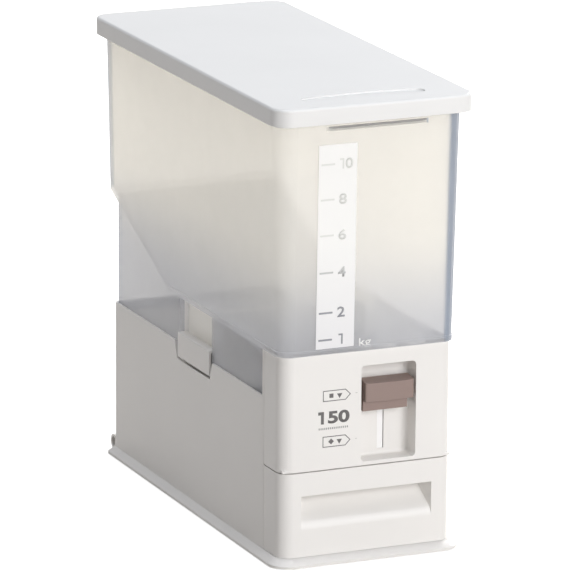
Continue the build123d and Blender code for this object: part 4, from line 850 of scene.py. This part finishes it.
def seen_directly(tree):
    """1 for rays from the camera, from mirrors and through clear plastic, else 0."""
    path = add_node(tree, "ShaderNodeLightPath")
    shiny = add_node(tree, "ShaderNodeMath", {
        0: path.outputs["Is Camera Ray"], 1: path.outputs["Is Glossy Ray"]},
        operation="MAXIMUM")
    return add_node(tree, "ShaderNodeMath", {
        0: shiny.outputs[0], 1: path.outputs["Is Transmission Ray"]},
        operation="MAXIMUM").outputs[0]


bpy.ops.mesh.primitive_plane_add(size=FLOOR_SIZE_M)
floor = bpy.context.active_object
floor.name = "studio_floor"
floor_paper, tree = new_material("pale_paper")
paper = add_node(tree, "ShaderNodeBsdfDiffuse", {"Color": linear(FLOOR_PAPER)})
glow = add_node(tree, "ShaderNodeMath", {
    0: seen_directly(tree), 1: FLOOR_GLOW}, operation="MULTIPLY").outputs[0]
white = add_node(tree, "ShaderNodeEmission", {"Color": linear(WHITE), "Strength": glow})
both = add_node(tree, "ShaderNodeAddShader", {
    0: paper.outputs["BSDF"], 1: white.outputs["Emission"]})
finish_material(tree, both.outputs["Shader"])
floor.data.materials.append(floor_paper)
print("floor:", FLOOR_SIZE_M, "m square")

# %% Room
ROOM_LIGHT = 0.16
ROOM_TINT = "#FFFAF5"
world = bpy.data.worlds.new("white_room")
world.use_nodes = True
world.node_tree.nodes.clear()
tree = world.node_tree
direct = seen_directly(tree)
strength = add_node(tree, "ShaderNodeMapRange", {
    "Value": direct, "To Min": ROOM_LIGHT, "To Max": 1.0}).outputs["Result"]
tint = add_node(tree, "ShaderNodeMix", {
    FACTOR: direct, FIRST: linear(ROOM_TINT), SECOND: linear(WHITE)},
    data_type="RGBA").outputs[MIXED]
room = add_node(tree, "ShaderNodeBackground", {"Color": tint, "Strength": strength})
add_node(tree, "ShaderNodeOutputWorld", {"Surface": room.outputs["Background"]})
bpy.context.scene.world = world
print("room light:", ROOM_LIGHT)

# %% [markdown]
# ## Lamps
# The front is the brightest side, the lid is a little cooler and the left side gets
# only what the room and the pale floor send back. So one soft box stands in front, one
# hangs high above, where it lights the lid and the foot plate almost alike, and one
# stands behind on the right and shines through the frosted tank.

# %% Three soft boxes
OBJECT_MIDDLE = (0.0, 0.0, 0.2)


def softbox(name, place, size, watts, colour):
    """A square lamp that is turned towards the object's middle."""
    bpy.ops.object.light_add(type="AREA", location=place)
    lamp = bpy.context.active_object
    lamp.name = name
    lamp.data.shape = "SQUARE"
    lamp.data.size = size
    lamp.data.energy = watts
    lamp.data.color = linear(colour)[:3]
    x, y, z = [a - p for a, p in zip(OBJECT_MIDDLE, place)]
    tilt = math.atan2(math.hypot(x, y), -z)
    turn = math.atan2(y, x) - math.pi / 2
    lamp.rotation_euler = (tilt, 0, turn)


softbox("front_box", (0.7, -3.3, 1.2), 1.6, 70.0, "#FEFEFF")
softbox("overhead_box", (-0.45, -0.2, 6.0), 3.0, 168.0, "#F0F5FF")
softbox("rear_right_box", (2.4, 1.9, 1.0), 1.6, 90.0, "#FFFEFB")

# %% [markdown]
# ## Camera
# A product camera stands far away with a long lens, so the sides hardly converge. Its
# place was found by matching the object's corners in the photograph: 23.5 degrees to
# the left of the front, 14.6 degrees above it, a hair of roll.

# %% Camera
CAMERA_TURN = math.radians(23.4532)
CAMERA_DROP = math.radians(14.6073)
CAMERA_ROLL = math.radians(0.3769)
CAMERA_PLACE = (-2.02564, -4.68663, 1.53707)
LENS_MM = 357.73
# nothing beyond this distance in metres is drawn
CLIP_END_M = 100.0
camera_data = bpy.data.cameras.new("product_camera")
camera_data.lens = LENS_MM
camera_data.clip_end = CLIP_END_M
camera = bpy.data.objects.new("product_camera", camera_data)
bpy.context.scene.collection.objects.link(camera)
turn = Matrix.Rotation(-CAMERA_TURN, 4, "Z")
tilt = Matrix.Rotation(math.pi / 2 - CAMERA_DROP, 4, "X")
roll = Matrix.Rotation(CAMERA_ROLL, 4, "Z")
camera.matrix_world = Matrix.Translation(CAMERA_PLACE) @ turn @ tilt @ roll
bpy.context.scene.camera = camera
bpy.context.scene.view_settings.view_transform = "Standard"
print("camera at", [round(v, 3) for v in camera.location])

# %% [markdown]
# ## Last update
# The view layer is brought up to date once more at the end.

# %% Update the view layer
bpy.context.view_layer.update()
